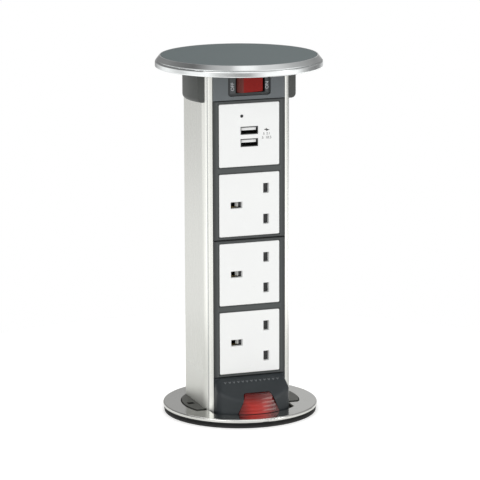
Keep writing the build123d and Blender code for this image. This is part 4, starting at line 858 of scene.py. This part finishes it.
# %% Print beside the ports
PRINT_X = 12.9 * MM
FLASH_DROP = 19.5 * MM
NUMBER_ROWS = [
    ("number_row_1", "5  2.1", 22.2 * MM, 1.7 * MM),
    ("number_row_2", "5  10.5", 25.0 * MM, 1.9 * MM),
]
FLASH_CORNERS = [(-2.2, 0.0), (0.3, 1.1), (0.3, 0.35), (2.3, 0.0), (-0.3, -1.1), (-0.3, -0.35)]
plate_low, plate_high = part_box("usb_faceplate")


def raised_patch(name, corners, out, material):
    """A flat face through corners given in space, pulled out along a vector, and closed behind."""
    shape = bmesh.new()
    face = shape.faces.new([shape.verts.new(corner) for corner in corners])
    risen = bmesh.ops.extrude_face_region(shape, geom=[face], use_keep_orig=True)["geom"]
    front = [part for part in risen if isinstance(part, bmesh.types.BMVert)]
    bmesh.ops.translate(shape, vec=out, verts=front)
    return finished(name, shape, material)


def on_plate(drop):
    return Vector((PRINT_X, plate_low[1], plate_high[2] - drop))


flash_points = [on_plate(FLASH_DROP) + Vector((x * MM, INK_SINK, z * MM)) for x, z in FLASH_CORNERS]
prints = [raised_patch("flash_mark", flash_points, Vector((0, -INK_THICK - INK_SINK, 0)), grey_ink)]
for name, numbers, drop, high in NUMBER_ROWS:
    prints.append(printed(name, numbers, on_plate(drop), high, 0, grey_ink))
for piece in prints:
    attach(piece, "tower")
    print(piece.name, "has", len(piece.data.polygons), "faces")

# %% [markdown]
# A row of small raised marks runs along the top of the sloped cover. We make them generic too: arrowheads
# that point down the slope, the way the tower is pushed. Each is a flat arrow set in the slope's own
# plane, with its height standing square to it, so we first work out that plane's two directions.

# %% Arrow marks on the cover
SLOPE_TOP = Vector((0, -21.0, 29.35)) * MM
SLOPE_FOOT = Vector((0, -41.0, 15.15)) * MM
MARK_COUNT = 13
MARK_PITCH = 3.3 * MM
MARK_START = 4.2 * MM
MARK_HIGH = 0.18 * MM
MARK_SINK = 0.05 * MM
TAB_ARROW_X = 0.8 * MM
TAB_ARROW_START = 18.0 * MM
ARROW_CORNERS = [(-1.0, 0.0), (-0.45, 0.0), (0.0, 0.8), (0.45, 0.0), (1.0, 0.0), (0.0, 1.8)]
down_slope = (SLOPE_FOOT - SLOPE_TOP).normalized()
off_slope = Vector((0, down_slope.z, -down_slope.y))
mark_plastic = moulded("mark_plastic", (0.10, 0.11, 0.115), (0.16, 0.17, 0.175), 0.40)


def slope_arrow(name, across, along):
    start = SLOPE_TOP + down_slope * along + Vector((across, 0, 0)) - off_slope * MARK_SINK
    corners = [start + Vector((x * MM, 0, 0)) + down_slope * step * MM for x, step in ARROW_CORNERS]
    return raised_patch(name, corners, off_slope * (MARK_HIGH + MARK_SINK), mark_plastic)


marks = [
    slope_arrow(f"slope_arrow_{i + 1}", (i - (MARK_COUNT - 1) / 2) * MARK_PITCH, MARK_START)
    for i in range(MARK_COUNT)
]
marks.append(slope_arrow("tab_arrow", TAB_ARROW_X, TAB_ARROW_START))
for mark in marks:
    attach(mark, "tower")
print("raised marks:", len(marks))

# %% [markdown]
# Last, we list every part that got no finish.

# %% Check the finish
print("parts with no finish:", sorted(set(nodes) - dressed))
bpy.context.view_layer.update()
